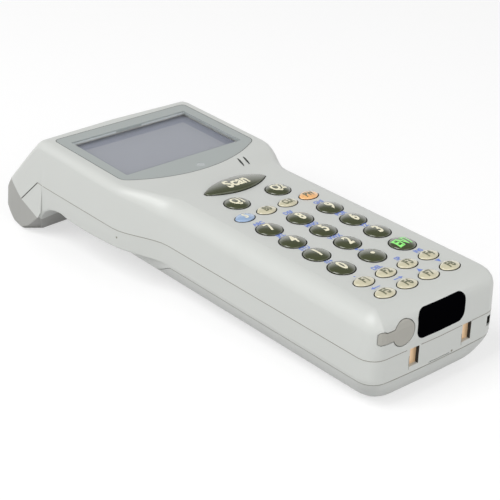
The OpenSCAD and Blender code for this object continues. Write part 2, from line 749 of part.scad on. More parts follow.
module nose_hood() {
    color(WARM_GREY) difference() {
        intersection() {
            body_form(arch_y, far);
            across(NOSE_SIDE, 2 * far);
        }
        inside();
        on_scan_window() translate([0, 0, -8]) linear_extrude(12) rounded_rect(scan_win_w, scan_win_h, 1.5);
    }
}

// ---------- keys ----------

// The crown is a ball whose lowest point lies on the key's edge
module keycap(k) {
    reach = k[3] == "digit" ? digit_key_d / 2 : k[3] == "small" ? small_key_l / 2 : scan_key_l / 2;
    crown = k[3] == "small" ? key_crown * 0.75 : k[3] == "scan" ? key_crown * 1.5 : key_crown;
    ball_r = (reach * reach + crown * crown) / (2 * crown);
    foot = ceiling_z - flange_gap - flange_t;
    color(k[4]) translate([k[1], k[2], 0]) {
        intersection() {
            translate([0, 0, foot]) linear_extrude(key_edge_h + crown - foot) key_outline(k[3]);
            translate([0, 0, key_edge_h + crown - ball_r]) sphere(ball_r, $fn = 120);
        }
        translate([0, 0, foot]) linear_extrude(flange_t) key_outline(k[3], key_gap + flange_lap);
    }
}

module keypad_mat() {
    color([0.5, 0.52, 0.5]) difference() {
        box(-stack_x, stack_x, stack_y0, stack_y1, mat_top_z - mat_t, mat_top_z);
        for (k = KEYS) translate([k[1], k[2], mat_top_z - mat_t - 1]) cylinder(h = mat_t + 0.6, d = 3.6);
    }
}

module contact_sheet() {
    color("silver") {
        box(-stack_x, stack_x, stack_y0, stack_y1, key_board_z, key_board_z + sheet_t);
        for (k = KEYS) translate([k[1], k[2], key_board_z]) cylinder(h = sheet_t + 0.3, d = 3);
    }
}

module key_board() {
    color(BOARD_GREEN) box(-stack_x, stack_x, stack_y0, stack_y1, key_board_z - board_t, key_board_z);
}

module board_spacers() {
    color("gold") for (s = SPACERS)
        translate([s[0], s[1], main_board_z]) cylinder(h = key_board_z - board_t - main_board_z, r = 1.6);
}

main_board_y0 = tail_y + wall + 0.5;
main_board_y1 = 99;
module main_board() {
    color(BOARD_GREEN) box(-19, 19, main_board_y0, main_board_y1, main_board_z - board_t, main_board_z);
}

module board_chips() {
    color([0.12, 0.12, 0.13]) {
        box(-8, 8, -26, -10, main_board_z, main_board_z + 1.2);
        box(-6, 6, -6, 2, main_board_z, main_board_z + 1);
        box(-7, 7, 34, 48, main_board_z, main_board_z + 1.2);
    }
}

module backup_cell() {
    color("silver") translate([0, -20, main_board_z - board_t - 2.1]) cylinder(h = 2.1, r = 6);
}

module buzzer() {
    color([0.15, 0.15, 0.15]) translate([14.8, 47.4, ceiling_z - 3.2]) cylinder(h = 3.2, r = 4.6);
}

// ---------- display ----------

module screen_bezel() {
    color([0.66, 0.68, 0.67]) on_head() difference() {
        translate([0, 0, -bezel_t]) linear_extrude(bezel_t) bezel_outline();
        translate([0, (window_y0 + window_y1) / 2, -5])
            linear_extrude(10) square([window_w, window_y1 - window_y0], center = true);
        translate([light_x, light_y, -5]) cylinder(h = 10, d = light_d);
    }
}

module screen_window() {
    color([0.7, 0.75, 0.8, 0.3]) on_head()
        translate([0, (window_y0 + window_y1) / 2, -bezel_t]) linear_extrude(bezel_t - 0.3)
            square([window_w, window_y1 - window_y0], center = true);
}

module indicator_light() {
    color([0.72, 0.75, 0.77]) on_head() translate([light_x, light_y, -bezel_t - 1])
        cylinder(h = bezel_t + 0.95, d = light_d);
}

module lcd_panel() {
    color([0.62, 0.63, 0.66]) on_head()
        box(-lcd_w / 2, lcd_w / 2, lcd_y0, lcd_y1, lcd_top_z - lcd_t, lcd_top_z);
}

// The tray under the panel, which also bears on the casing round the opening
tray_t = 1.4;
module lcd_frame() {
    color("silver") on_head()
        box(-lcd_w / 2 - 1.5, lcd_w / 2 + 1.5, lcd_y0 - 1.5, lcd_y1 + 1.5,
            lcd_top_z - lcd_t - tray_t, lcd_top_z - lcd_t);
}

module lcd_ribbon() {
    color("orange") box(-9, 9, 74, 74.4, main_board_z, head_z0 + lcd_top_z - lcd_t - tray_t);
}

// ---------- tail face ----------

module ir_window() {
    color([0.03, 0.03, 0.04]) intersection() {
        body_form(tail_y, tail_y + 8);
        on_tail(2.2) linear_extrude(8) ir_outline();
    }
}

module ir_module() {
    color([0.15, 0.12, 0.16]) {
        box(ir_x - 5, ir_x + 5, tail_y + 3.2, tail_y + 6, main_board_z, main_board_z + 4.4);
        for (x = [-2.5, 2.5]) translate([ir_x + x, tail_y + 3.2, main_board_z + 2.2]) sphere(1.1);
    }
}

module jack_plug() {
    color(WARM_GREY) {
        intersection() {
            body_form(tail_y, tail_y + 8);
            on_tail(flap_t) linear_extrude(8) plug_outline();
        }
        on_tail(3.4) translate([jack_x, jack_z, 0]) cylinder(h = 3.4 - flap_t + 0.1, r = jack_hole_r);
    }
}

module jack_socket() {
    color([0.1, 0.1, 0.1]) difference() {
        box(jack_x - 3.6, jack_x + 3.6, tail_y + 2.2, stack_y0 - 0.4, main_board_z, main_board_z + 7);
        on_tail(10) translate([jack_x, jack_z, 0]) cylinder(h = 12, r = jack_hole_r + 0.4);
    }
}

module charge_contacts() {
    color([0.85, 0.6, 0.45]) for (x = CONTACT_XS)
        box(x - contact_w / 2, x + contact_w / 2, tail_y + contact_depth, tail_y + wall + 1.2,
            slot_z0, slot_z1 - 0.1);
}

// ---------- scanner ----------

module scan_window() {
    color([0.4, 0.1, 0.1, 0.5]) on_scan_window() translate([0, 0, -1.6])
        linear_extrude(1.2) rounded_rect(scan_win_w, scan_win_h, 1.5);
}

module scan_engine() {
    color([0.12, 0.12, 0.14]) {
        box(-engine_w / 2, engine_w / 2, 99.6, 112.6, -19.6, -13.2);
        translate([0, 109.5, -18.5]) rotate([-SCAN_TILT - 90, 0, 0]) cylinder(h = 6, r = 3.2);
    }
}

shelf_z = -33; // underside of the light bar's shelf
module scan_light_bar() {
    color([0.5, 0.08, 0.08])
        box(-light_bar_l / 2, light_bar_l / 2, 114.9, 118.6, shelf_z + 1, shelf_z + 2.6);
}

// The engine's floor, two arms down into the nose and a shelf for the light bar
arm_x = light_bar_l / 2 - 1.3;
module scan_bracket() {
    color("silver") {
        box(-arm_x - 0.5, arm_x + 0.5, 98, 106, -20.6, -19.6);
        for (x = [-arm_x, arm_x]) translate([x, 0, 0]) across([
            [98, -20.6], [107, -20.9], [113, shelf_z], [119, shelf_z], [119, shelf_z + 1],
            [114.6, shelf_z + 1], [109, -19.6], [98, -19.6],
        ], 1);
        box(-light_bar_l / 2, light_bar_l / 2, 114.2, 119, shelf_z, shelf_z + 1);
    }
}

module scan_ribbon() {
    color("orange") box(-6, 6, 95, 99.6, main_board_z - board_t - 0.4, main_board_z - board_t);
}

// ---------- battery ----------

module battery_pack() {
    color([0.2, 0.21, 0.24]) difference() {
        box(-pack_w / 2, pack_w / 2, pack_y0, pack_y0 + pack_l, pack_z0, pack_z0 + pack_h);
        for (x = [-5, 5])
            box(x - 2, x + 2, pack_y0 + pack_l - 0.4, pack_y0 + pack_l + 1,
                pack_z0 + pack_h - 4.4, pack_z0 + pack_h + 1);
    }
}

module battery_contacts() {
    color("gold") for (x = [-5, 5]) {
        box(x - 1.5, x + 1.5, pack_y0 + pack_l + 0.3, pack_y0 + pack_l + 0.7, bay_z - 4, bay_z);
        box(x - 1.5, x + 1.5, pack_y0 + pack_l + 0.3, pack_y0 + pack_l + 3, bay_z - 0.4, bay_z);
    }
}

// ---------- seal and screws ----------

seal_w = 0.7;
// Outline of the hollow at the seam, shrunk by inset
module seam_outline(inset) {
    translate([-hollow_x + inset, tail_y + wall + inset])
        square([2 * (hollow_x - inset), neck_y1 - tail_y - wall]);
    translate([-head_hollow_x + inset, neck_y1 + inset])
        square([2 * (head_hollow_x - inset), 104 - neck_y1 - inset]);
}

module case_seal() {
    color([0.25, 0.25, 0.26]) difference() {
        translate([0, 0, seam_z + 0.05]) linear_extrude(0.9) seam_outline(0);
        translate([0, 0, seam_z - 1]) linear_extrude(4) seam_outline(seal_w);
        translate([0, 0, seam_z - 1]) linear_extrude(4) translate([-40, 103]) square([80, 4]);
        at_screws() translate([0, 0, seam_z - 1]) cylinder(h = 4, r = boss_r + 0.1);
    }
}

module case_screws() {
    color("silver") for (s = SCREWS) mirrored_x() translate([s[0], s[1], s[2] + 0.2]) {
        cylinder(h = screw_head_h, r = screw_head_r);
        cylinder(h = 7.5 + seam_z - s[2], r = screw_r - fit);
    }
}

// ---------- assembly ----------

at_rest() upper_case();
at_rest() lower_case();
at_rest() nose_hood();
at_rest() battery_cover();
at_rest() screen_bezel();
at_rest() screen_window();
at_rest() indicator_light();
at_rest() lcd_panel();
at_rest() lcd_frame();
at_rest() lcd_ribbon();
at_rest() keypad_mat();
at_rest() contact_sheet();
at_rest() key_board();
at_rest() board_spacers();
at_rest() main_board();
at_rest() board_chips();
at_rest() buzzer();
at_rest() backup_cell();
at_rest() ir_window();
at_rest() ir_module();
at_rest() jack_plug();
at_rest() jack_socket();
at_rest() charge_contacts();
at_rest() scan_window();
at_rest() scan_engine();
at_rest() scan_light_bar();
at_rest() scan_bracket();
at_rest() scan_ribbon();
at_rest() battery_pack();
at_rest() battery_contacts();
at_rest() case_seal();
at_rest() case_screws();
at_rest() hinge_pin();
for (k = KEYS) at_rest() keycap(k);
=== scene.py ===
"""Looks of a handheld data terminal: casing, keypad, screen, tail face, nose and a plain studio."""

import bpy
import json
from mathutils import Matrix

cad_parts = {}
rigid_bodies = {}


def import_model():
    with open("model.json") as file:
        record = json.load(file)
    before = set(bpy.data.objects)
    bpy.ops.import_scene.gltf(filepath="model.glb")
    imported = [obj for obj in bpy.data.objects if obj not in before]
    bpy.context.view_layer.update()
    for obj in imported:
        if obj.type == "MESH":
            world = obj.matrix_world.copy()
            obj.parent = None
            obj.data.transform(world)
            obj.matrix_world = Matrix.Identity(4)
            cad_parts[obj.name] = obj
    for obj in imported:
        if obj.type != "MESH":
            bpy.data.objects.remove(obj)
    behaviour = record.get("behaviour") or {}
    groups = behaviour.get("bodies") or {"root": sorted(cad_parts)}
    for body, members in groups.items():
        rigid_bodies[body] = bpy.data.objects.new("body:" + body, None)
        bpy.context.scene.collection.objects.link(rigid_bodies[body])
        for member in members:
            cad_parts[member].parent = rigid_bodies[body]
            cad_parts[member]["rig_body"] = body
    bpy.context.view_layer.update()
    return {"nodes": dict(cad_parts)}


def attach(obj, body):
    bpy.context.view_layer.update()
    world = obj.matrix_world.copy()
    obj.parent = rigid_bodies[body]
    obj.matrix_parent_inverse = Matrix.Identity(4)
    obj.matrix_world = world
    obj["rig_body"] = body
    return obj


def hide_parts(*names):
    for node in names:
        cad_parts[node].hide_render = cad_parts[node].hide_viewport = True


bl_info = {
    "name": "Data terminal looks",
    "version": (1, 0, 0),
    "blender": (4, 5, 0),
    "location": "View3D > Sidebar > Terminal",
    "description": "Dresses the packed terminal with smooth skins, domed keys, legends and seams",
    "category": "Object",
}

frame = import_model()

import json
import math
from collections import namedtuple
from functools import cache, partial

import bmesh
import bpy
import numpy as np
from bpy.props import FloatProperty, FloatVectorProperty, PointerProperty
from bpy.types import NodeSocket, Operator, Panel, PropertyGroup, Scene
from mathutils import Vector

MM = 0.001

# The keypad plate's own axes: x to the right, y to the head, z out of the plate, from under key 8.
# Places on these axes are named in millimetres. All else is in metres.
RESTING_TILT = math.radians(1.97964)
PLATE_ORIGIN = np.array([0.0, -34.8359, 35.8278]) * MM

CASING_NODES = ("upper_case", "lower_case", "nose_hood", "battery_cover")


# ---------- sizes and colours that a user may change ----------

def colour_prop(name, description, default):
    """A colour swatch with its name, description and default."""
    return FloatVectorProperty(
        name=name, description=description, default=default, size=3, min=0, max=1, subtype="COLOR"
    )


def length_prop(name, description, default_mm):
    """A length in metres, with its default given in millimetres."""
    return FloatProperty(
        name=name, description=description, default=default_mm * MM, min=0, precision=5,
        unit="LENGTH",
    )


def number_prop(name, description, default, unit="NONE"):
    """A number that isn't negative."""
    return FloatProperty(name=name, description=description, default=default, min=0, unit=unit)


def place_prop(name, description, default):
    """A place in metres."""
    return FloatVectorProperty(
        name=name, description=description, default=default, size=3, precision=5,
        subtype="TRANSLATION", unit="LENGTH",
    )


class CasingLooks(PropertyGroup):
    """Colours of the moulded casing and widths of its seams."""

    case: colour_prop("Casing", "Light grey of the upper and lower case", (0.570, 0.584, 0.560))
    cover: colour_prop("Battery cover", "Darker grey of the cover", (0.545, 0.557, 0.538))
    nose: colour_prop("Nose", "Grey of the scanner nose", (0.345, 0.345, 0.327))
    flap: colour_prop("Jack flap", "Warm grey of the rubber flap", (0.385, 0.376, 0.340))
    seam: colour_prop("Seam", "Shade inside the seam lines", (0.240, 0.225, 0.190))
    seam_width: length_prop("Seam width", "Width of the case's seam", 0.22)
    groove_width: length_prop("Groove width", "Width of the slanting nose groove", 0.38)
    smooth_angle: FloatProperty(
        name="Smoothing angle", description="Edges flatter than this are shaded as one surface",
        default=math.radians(27), subtype="ANGLE",
    )


class KeyLooks(PropertyGroup):
    """Colours and sizes of the keys, as in the part's source."""

    olive: colour_prop("Olive", "Digit, Q and scan keys", (0.046, 0.054, 0.018))
    beige: colour_prop("Beige", "Editing and function keys", (0.600, 0.560, 0.400))
    blue: colour_prop("Blue", "Shift key", (0.300, 0.420, 0.610))
    orange: colour_prop("Orange", "Power key", (0.870, 0.480, 0.200))
    digit_pitch: length_prop("Digit pitch", "Distance between digit columns", 13.5)
    digit_row_pitch: length_prop("Digit row pitch", "Distance between digit rows", 11.31)
    small_pitch: length_prop("Small pitch", "Distance between small key columns", 9.53)
    digit_d: length_prop("Digit key", "Diameter of a digit key", 8.8)
    small_l: length_prop("Small key length", "Length of a small key", 7.5)
    small_w: length_prop("Small key width", "Width of a small key", 5.3)
    scan_l: length_prop("Scan key length", "Length of the scan key", 26.6)
    scan_w: length_prop("Scan key width", "Width of the scan key", 10)
    edge_h: length_prop("Edge height", "Height of a key's rim over the plate", 0.3)
    crown: length_prop("Crown", "Height of a digit key's dome over its rim", 0.9)
    dome_power: FloatProperty(
        name="Dome power", description="2 is a round dome, more is flatter", default=2.4, min=2
    )
    rim_round: length_prop("Rim round", "Radius of the rim of a key", 0.35)
    gap: length_prop("Gap", "Gap between a key and the plate", 0.35)


class LegendLooks(PropertyGroup):
    """Colours and sizes of the lettering."""

    cream: colour_prop("Cream", "Lettering on the dark keys", (0.830, 0.790, 0.600))
    olive: colour_prop("Olive ink", "Lettering on the beige keys", (0.140, 0.145, 0.085))
    green: colour_prop("Green", "Lettering on the enter key", (0.300, 0.860, 0.220))
    print_blue: colour_prop("Printed blue", "Letters on the plate", (0.150, 0.235, 0.640))
    ink_lift: length_prop("Ink lift", "Height of the ink over its ground", 0.03)
    print_h: length_prop("Printed height", "Height of the printed capitals", 1.95)


class ScreenLooks(PropertyGroup):
    """Colours and sizes of the screen."""

    bezel: colour_prop("Bezel", "Grey plate round the screen", (0.335, 0.366, 0.358))
    panel: colour_prop("Panel", "Dark border of the display", (0.205, 0.222, 0.276))
    active: colour_prop("Active area", "Background of the display", (0.290, 0.304, 0.342))
    # partly painted light: a pale wall at the display's top edge, made brighter for the light that
    # enters there
    strip: colour_prop("Strip", "Bright edge over the display", (0.560, 0.600, 0.600))
    active_w: length_prop("Active width", "Width of the display's active area", 45.4)
    active_h: length_prop("Active height", "Height of the display's active area", 26)
    active_y: length_prop("Active middle", "Middle of the active area on the plate", 78.9)
    groove_width: length_prop("Groove width", "Width of the groove round the bezel", 0.22)
    panel_depth: length_prop("Panel depth", "Depth of the display under the bezel", 2.5)


class StudioLooks(PropertyGroup):
    """Camera, floor and lights."""

    eye: place_prop("Camera place", "Where the camera is", (-0.28955, -0.349175, 0.229815))
    target: place_prop("Camera target", "Middle of the view", (-0.020390, -0.033126, 0.030))
    lens: number_prop("Lens", "Focal length on a 36 mm sensor", 101.84, "CAMERA")
    sky: number_prop("Sky", "Strength of the even light", 1.0)
    zenith: number_prop("Zenith", "Share of the sky's light overhead", 0.25)
    key_power: number_prop("Key light", "Power of the left softbox", 9.5, "POWER")
    fill_power: number_prop("Fill light", "Power of the front softbox", 2.9, "POWER")
    floor: colour_prop("Floor", "Colour of the studio floor", (0.97, 0.97, 0.97))


class TerminalLooks(PropertyGroup):
    """All the looks of the terminal."""

    casing: PointerProperty(type=CasingLooks)
    keys: PointerProperty(type=KeyLooks)
    legends: PointerProperty(type=LegendLooks)
    screen: PointerProperty(type=ScreenLooks)
    studio: PointerProperty(type=StudioLooks)


# ---------- geometry ----------

def placed(points):
    """Points in metres on the plate's axes to the row frame: a turn about X, then a shift."""
    c, s = math.cos(RESTING_TILT), math.sin(RESTING_TILT)
    turn = np.array([[1, 0, 0], [0, c, s], [0, -s, c]])
    return np.asarray(points, float) @ turn + PLATE_ORIGIN


def turned(directions):
    """Directions on the plate's axes to the row frame, without the shift."""
    return placed(directions) - PLATE_ORIGIN


PLATE_UP = turned([[0.0, 0.0, 1.0]])


def merged(points, corners):
    """Points within a tenth of a micrometre become one, and faces that lose a corner go."""
    grid = np.round(points * 1e7).astype(np.int64)
    _, first, where = np.unique(grid, axis=0, return_index=True, return_inverse=True)
    corners = where.reshape(-1)[corners]
    whole = np.all(np.diff(np.sort(corners, axis=1), axis=1) > 0, axis=1)
    return points[first], corners[whole]


def grid_faces(rows, columns, closed):
    """Four-sided faces of a grid of points, whose last column may join the first."""
    across = columns if closed else columns - 1
    i, j = np.meshgrid(np.arange(rows - 1) * columns, np.arange(across), indexing="ij")
    k = (j + 1) % columns
    return np.stack([i + j, i + k, i + columns + k, i + columns + j], -1).reshape(-1, 4)


def pole_faces(ring, pole, outward):
    """A fan of triangles from a ring of points to a pole, facing up or down."""
    after = np.roll(ring, -1)
    pair = [ring, after] if outward else [after, ring]
    return np.stack([np.full(len(ring), pole), *pair], -1)


def add_object(name, data):
    """A new object in the scene."""
    made = bpy.data.objects.new(name, data)
    bpy.context.scene.collection.objects.link(made)
    return made


def make_piece(name, points, face_sets, material, body="terminal", smooth_angle=None):
    """A mesh piece that rides on a body. A face set is an array of three or four corners a row."""
    faces = [face for faces in face_sets for face in faces.tolist()]
    mesh = bpy.data.meshes.new(name)
    mesh.from_pydata(points.tolist(), [], faces)
    mesh.validate()
    mesh.materials.append(material)
    mesh.shade_smooth()
    if smooth_angle:
        mesh.set_sharp_from_angle(angle=smooth_angle)
    made = add_object(name, mesh)
    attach(made, body)
    return made


def mesh_arrays(mesh):
    """A mesh's points, and the three corners of each of its triangles."""
    mesh.calc_loop_triangles()
    points = np.empty(len(mesh.vertices) * 3, np.float32)
    corners = np.empty(len(mesh.loop_triangles) * 3, np.int32)
    mesh.vertices.foreach_get("co", points)
    mesh.loop_triangles.foreach_get("vertices", corners)
    return points.reshape(-1, 3).astype(float), corners.reshape(-1, 3)


def node_triangles(name):
    """The corner points of a node's triangles: triangles by corners by coordinates."""
    points, corners = mesh_arrays(frame["nodes"][name].data)
    return points[corners]


def met_skin(starts, directions, triangles):
    """Where each ray first meets the triangles, and the unit normal there. It meets a triangle
    where the shares u and v of its two sides, and their sum, lie between 0 and 1."""
    slack = 1e-6
    a = triangles[:, 0]
    ab, ac = triangles[:, 1] - a, triangles[:, 2] - a
    across = np.cross(ab, ac)
    nearest = np.full(len(starts), np.inf)
    normals = np.zeros((len(starts), 3))
    for i, (start, direction) in enumerate(zip(starts, directions)):
        facing = across @ direction < -1e-16
        p, q, r = ab[facing], ac[facing], start - a[facing]
        turn = np.cross(direction, q)
        scale = np.einsum("ij,ij->i", p, turn)
        u = np.einsum("ij,ij->i", r, turn) / scale
        side = np.cross(r, p)
        v = side @ direction / scale
        t = np.einsum("ij,ij->i", q, side) / scale
        hit = (u > -slack) & (v > -slack) & (u + v < 1 + slack) & (t > 0)
        if not hit.any():
            raise RuntimeError(f"ray {i} meets no skin")
        best = np.flatnonzero(hit)[np.argmin(t[hit])]
        nearest[i] = t[best]
        normal = across[facing][best]
        normals[i] = normal / np.linalg.norm(normal)
    return starts + nearest[:, None] * directions, normals


def ribbon(path, normals, width, lift):
    """A strip along a path, lifted off the skin: its edges stand half the width to either side,
    square to the path and to the skin's normal."""
    side = np.cross(normals, np.gradient(path, axis=0))
    side /= np.linalg.norm(side, axis=1)[:, None]
    rows = np.stack([path + side * width / 2, path - side * width / 2]) + normals * lift
    return rows.reshape(-1, 3), grid_faces(2, len(path), False)[:, ::-1]


# ---------- finishes ----------

GRAIN_SCALE = 2600.0  # cycles of mould grain per metre
MOTTLE_SCALE = 28.0
MARK_SCALE = 45.0
MARK_THRESHOLD, MARK_FULL = 0.6, 0.85  # noise from which a smudge starts, and where it is full
BUMP_HEIGHT = 0.01 * MM
MARK_POLISH = 0.08  # roughness lost where a piece was handled
LEAST_ROUGHNESS = 0.02


def fill_in(node, values):
    """Sets a node's inputs by their names, which have underscores for spaces."""
    for socket, value in values.items():
        node.inputs[socket.replace("_", " ")].default_value = value
    return node


def add_node(tree, kind, **values):
    """A new shader node with values on its inputs."""
    return fill_in(tree.nodes.new(f"ShaderNode{kind}"), values)


def add_group(tree, group, **values):
    """A shared group placed in a material with its own values."""
    node = add_node(tree, "Group")
    node.node_tree = group
    return fill_in(node, values)


def mix_colours(tree, factor, a, b):
    """A blend of two colours by a factor's socket. Each colour is a socket or three numbers."""
    node = tree.nodes.new("ShaderNodeMix")
    node.data_type = "RGBA"
    tree.links.new(factor, node.inputs["Factor"])
    for socket, colour in (("A", a), ("B", b)):
        if isinstance(colour, NodeSocket):
            tree.links.new(colour, node.inputs[socket])
        else:
            node.inputs[socket].default_value = (*colour, 1)
    return node.outputs["Result"]


def shade_group(name, inputs, outputs):
    """A shader node group with named number inputs and outputs: the group, its Object
    coordinates, its inputs' and its outputs' sockets."""
    group = bpy.data.node_groups.new(name, "ShaderNodeTree")
    add_socket = partial(group.interface.new_socket, socket_type="NodeSocketFloat")
    for socket, value in inputs.items():
        add_socket(name=socket, in_out="INPUT").default_value = value
    for socket in outputs:
        add_socket(name=socket, in_out="OUTPUT")
    place = group.nodes.new("ShaderNodeTexCoord").outputs["Object"]
    given, result = group.nodes.new("NodeGroupInput"), group.nodes.new("NodeGroupOutput")
    return group, place, given.outputs, result.inputs


@cache
def moulded_grain_group():
    """Fine grain of a spark-eroded mould and slow mottle of its colour."""
    scales = {"Grain Scale": GRAIN_SCALE, "Mottle Scale": MOTTLE_SCALE}
    group, place, given, result = shade_group("moulded_grain", scales, ("Grain", "Mottle"))
    for socket, detail in (("Grain", 2.0), ("Mottle", 3.0)):
        noise = add_node(group, "TexNoise", Detail=detail, Roughness=0.55)
        group.links.new(place, noise.inputs["Vector"])
        group.links.new(given[f"{socket} Scale"], noise.inputs["Scale"])
        group.links.new(noise.outputs["Fac"], result[socket])
    return group


@cache
def handling_marks_group():
    """Faint smudges left by handling: a slow noise with only its highest parts kept."""
    values = {"Scale": MARK_SCALE, "Threshold": MARK_THRESHOLD}
    group, place, given, result = shade_group("handling_marks", values, ("Marks",))
    noise = add_node(group, "TexNoise", Detail=4.0, Distortion=0.6)
    ramp = add_node(group, "MapRange", From_Max=MARK_FULL)
    group.links.new(place, noise.inputs["Vector"])
    group.links.new(given["Scale"], noise.inputs["Scale"])
    group.links.new(noise.outputs["Fac"], ramp.inputs["Value"])
    group.links.new(given["Threshold"], ramp.inputs["From Min"])
    group.links.new(ramp.outputs["Result"], result["Marks"])
    return group


def finish(
    name, colour, roughness, mottle=0.03, grain_depth=0.6, grain_scale=GRAIN_SCALE, marks=0.0,
    **shader,
):
    """A moulded or machined finish: the colour varies by the mottle share and darkens by marks
    where it was handled, and a fine bump follows the grain. Other values go on the shader."""
    material = bpy.data.materials.new(name)
    material.use_nodes = True
    tree = material.node_tree
    link = tree.links.new
    bsdf = fill_in(tree.nodes["Principled BSDF"], shader)
    grain = add_group(tree, moulded_grain_group(), Grain_Scale=grain_scale)
    smudge = add_group(tree, handling_marks_group())
    colour = np.array(colour)
    low, high = colour * (1 - mottle), np.minimum(colour * (1 + mottle), 1)
    tone = mix_colours(tree, grain.outputs["Mottle"], low, high)
    worn = mix_colours(tree, smudge.outputs["Marks"], tone, colour * (1 - marks))
    link(worn, bsdf.inputs["Base Color"])
    polished = max(roughness - MARK_POLISH, LEAST_ROUGHNESS)
    sheen = add_node(tree, "MapRange", To_Min=roughness, To_Max=polished)
    link(smudge.outputs["Marks"], sheen.inputs["Value"])
    link(sheen.outputs["Result"], bsdf.inputs["Roughness"])
    bump = add_node(tree, "Bump", Strength=grain_depth, Distance=BUMP_HEIGHT)
    link(grain.outputs["Grain"], bump.inputs["Height"])
    link(bump.outputs["Normal"], bsdf.inputs["Normal"])
    return material


def dress(material, *names):
    """Gives CAD nodes a finish."""
    for name in names:
        mesh = frame["nodes"][name].data
        mesh.materials.clear()
        mesh.materials.append(material)


# ---------- casing ----------

CRISP_ANGLE = math.radians(8)
FLAT_COSINE = 0.99995  # a face counts as the plate's when its normal is this close to the plate's

# Places on the plate's axes
GRIP_HALF_W = 28.4
TAIL_Y = -63.4  # where the tail's sides end
TAIL_CORNER_R = 5.5
SEAM_Z = -15.4  # the joint of the upper and the lower case
NOTCH_Y = 105.8  # that joint turns down towards the nose here
GROOVE_FOOT = (117.9, -26.3)  # y and z of the slanting groove's end at the nose
COVER_SEAM_Z = -23.85
COVER_SEAM_Y = 34.7  # the battery cover's side seam starts here
TAIL_LINES = (("a", -12.6, -17.8, -22.5), ("b", 11.0, -18.5, -22.7))  # name, x, upper and lower z of the painted shade along a groove
CLEAR_X, CLEAR_Y = 60, -100  # rays start here, clear of the sides and of the tail
CORNER_CLEAR = 30  # and this far from the middle of the tail's corner

COVER_SEAM_SHARE = 0.75  # of the case seam's width
TAIL_LINE_W = 0.2 * MM
MARK_R = 0.4 * MM
SKIN_LIFT = 0.03 * MM  # of lines and marks over the casing


def keep_crease(mesh):
    """Edges between the flat keypad plate and a face that leans away from it stay crisp."""
    up = Vector(PLATE_UP[0])
    sheet = bmesh.new()
    sheet.from_mesh(mesh)
    for edge in sheet.edges:
        if len(edge.link_faces) == 2 and edge.calc_face_angle() > CRISP_ANGLE:
            flat = [face.normal.dot(up) > FLAT_COSINE for face in edge.link_faces]
            if flat[0] != flat[1]:
                edge.smooth = False
    sheet.to_mesh(mesh)
    sheet.free()


def add_skin(name, plastic, smooth_angle):
    """A casing node's own shape with its loose triangles merged, which shades its curves smooth."""
    points = node_triangles(name).reshape(-1, 3)
    points, corners = merged(points, np.arange(len(points)).reshape(-1, 3))
    body = frame["nodes"][name]["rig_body"]
    skin = make_piece(f"{name}_skin", points, [corners], plastic, body, smooth_angle=smooth_angle)
    keep_crease(skin.data)
    even = skin.modifiers.new("even_normals", "WEIGHTED_NORMAL")
    even.keep_sharp = True
    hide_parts(name)


class TERMINAL_OT_casing(Operator):
    """Gives the four casing pieces smooth skins in satin moulded plastic"""

    bl_idname = "terminal.casing"
    bl_label = "Casing"

    def execute(self, context):
        looks = context.scene.terminal_looks.casing
        case = finish("case_plastic", looks.case, 0.36, mottle=0.012, marks=0.03)
        cover = finish("cover_plastic", looks.cover, 0.45, mottle=0.012, marks=0.03)
        nose = finish("nose_plastic", looks.nose, 0.46, mottle=0.02, marks=0.04)
        flap = finish("flap_rubber", looks.flap, 0.60, grain_depth=0.8)
        for name, plastic in zip(CASING_NODES, (case, case, nose, cover)):
            add_skin(name, plastic, looks.smooth_angle)
        dress(flap, "jack_plug")
        return {"FINISHED"}


def round_the_tail(side, y0, z):
    """Ray starts and directions at one level: along a side from y0, round the tail's corner and
    to the tail's middle."""
    corner_x, corner_y = side * (GRIP_HALF_W - TAIL_CORNER_R), TAIL_Y + TAIL_CORNER_R
    level = np.linspace([side * CLEAR_X, y0, z], [side * CLEAR_X, corner_y, z], 110)
    turn = np.linspace(0, math.pi / 2, 40)[1:]
    out = np.stack([side * np.cos(turn), -np.sin(turn), np.zeros_like(turn)], -1)
    corner = np.array([corner_x, corner_y, z]) + out * CORNER_CLEAR
    tail = np.linspace([corner_x, CLEAR_Y, z], [0, CLEAR_Y, z], 16)[1:]
    inward = np.full_like(level, [-side, 0, 0])
    ahead = np.full_like(tail, [0, 1, 0])
    return np.concatenate([level, corner, tail]), np.concatenate([inward, -out, ahead])


def disc(middle, normal, radius):
    """A small flat disc on the skin, square to its normal."""
    count = 24
    side = np.cross(normal, [0.0, 0.0, 1.0])
    side /= np.linalg.norm(side)
    up = np.cross(side, normal)
    angle = np.linspace(0, 2 * np.pi, count, endpoint=False)[:, None]
    middle = middle + normal * SKIN_LIFT
    ring = middle + radius * (np.cos(angle) * side + np.sin(angle) * up)
    return np.concatenate([ring, [middle]]), [pole_faces(np.arange(count), count, False)]


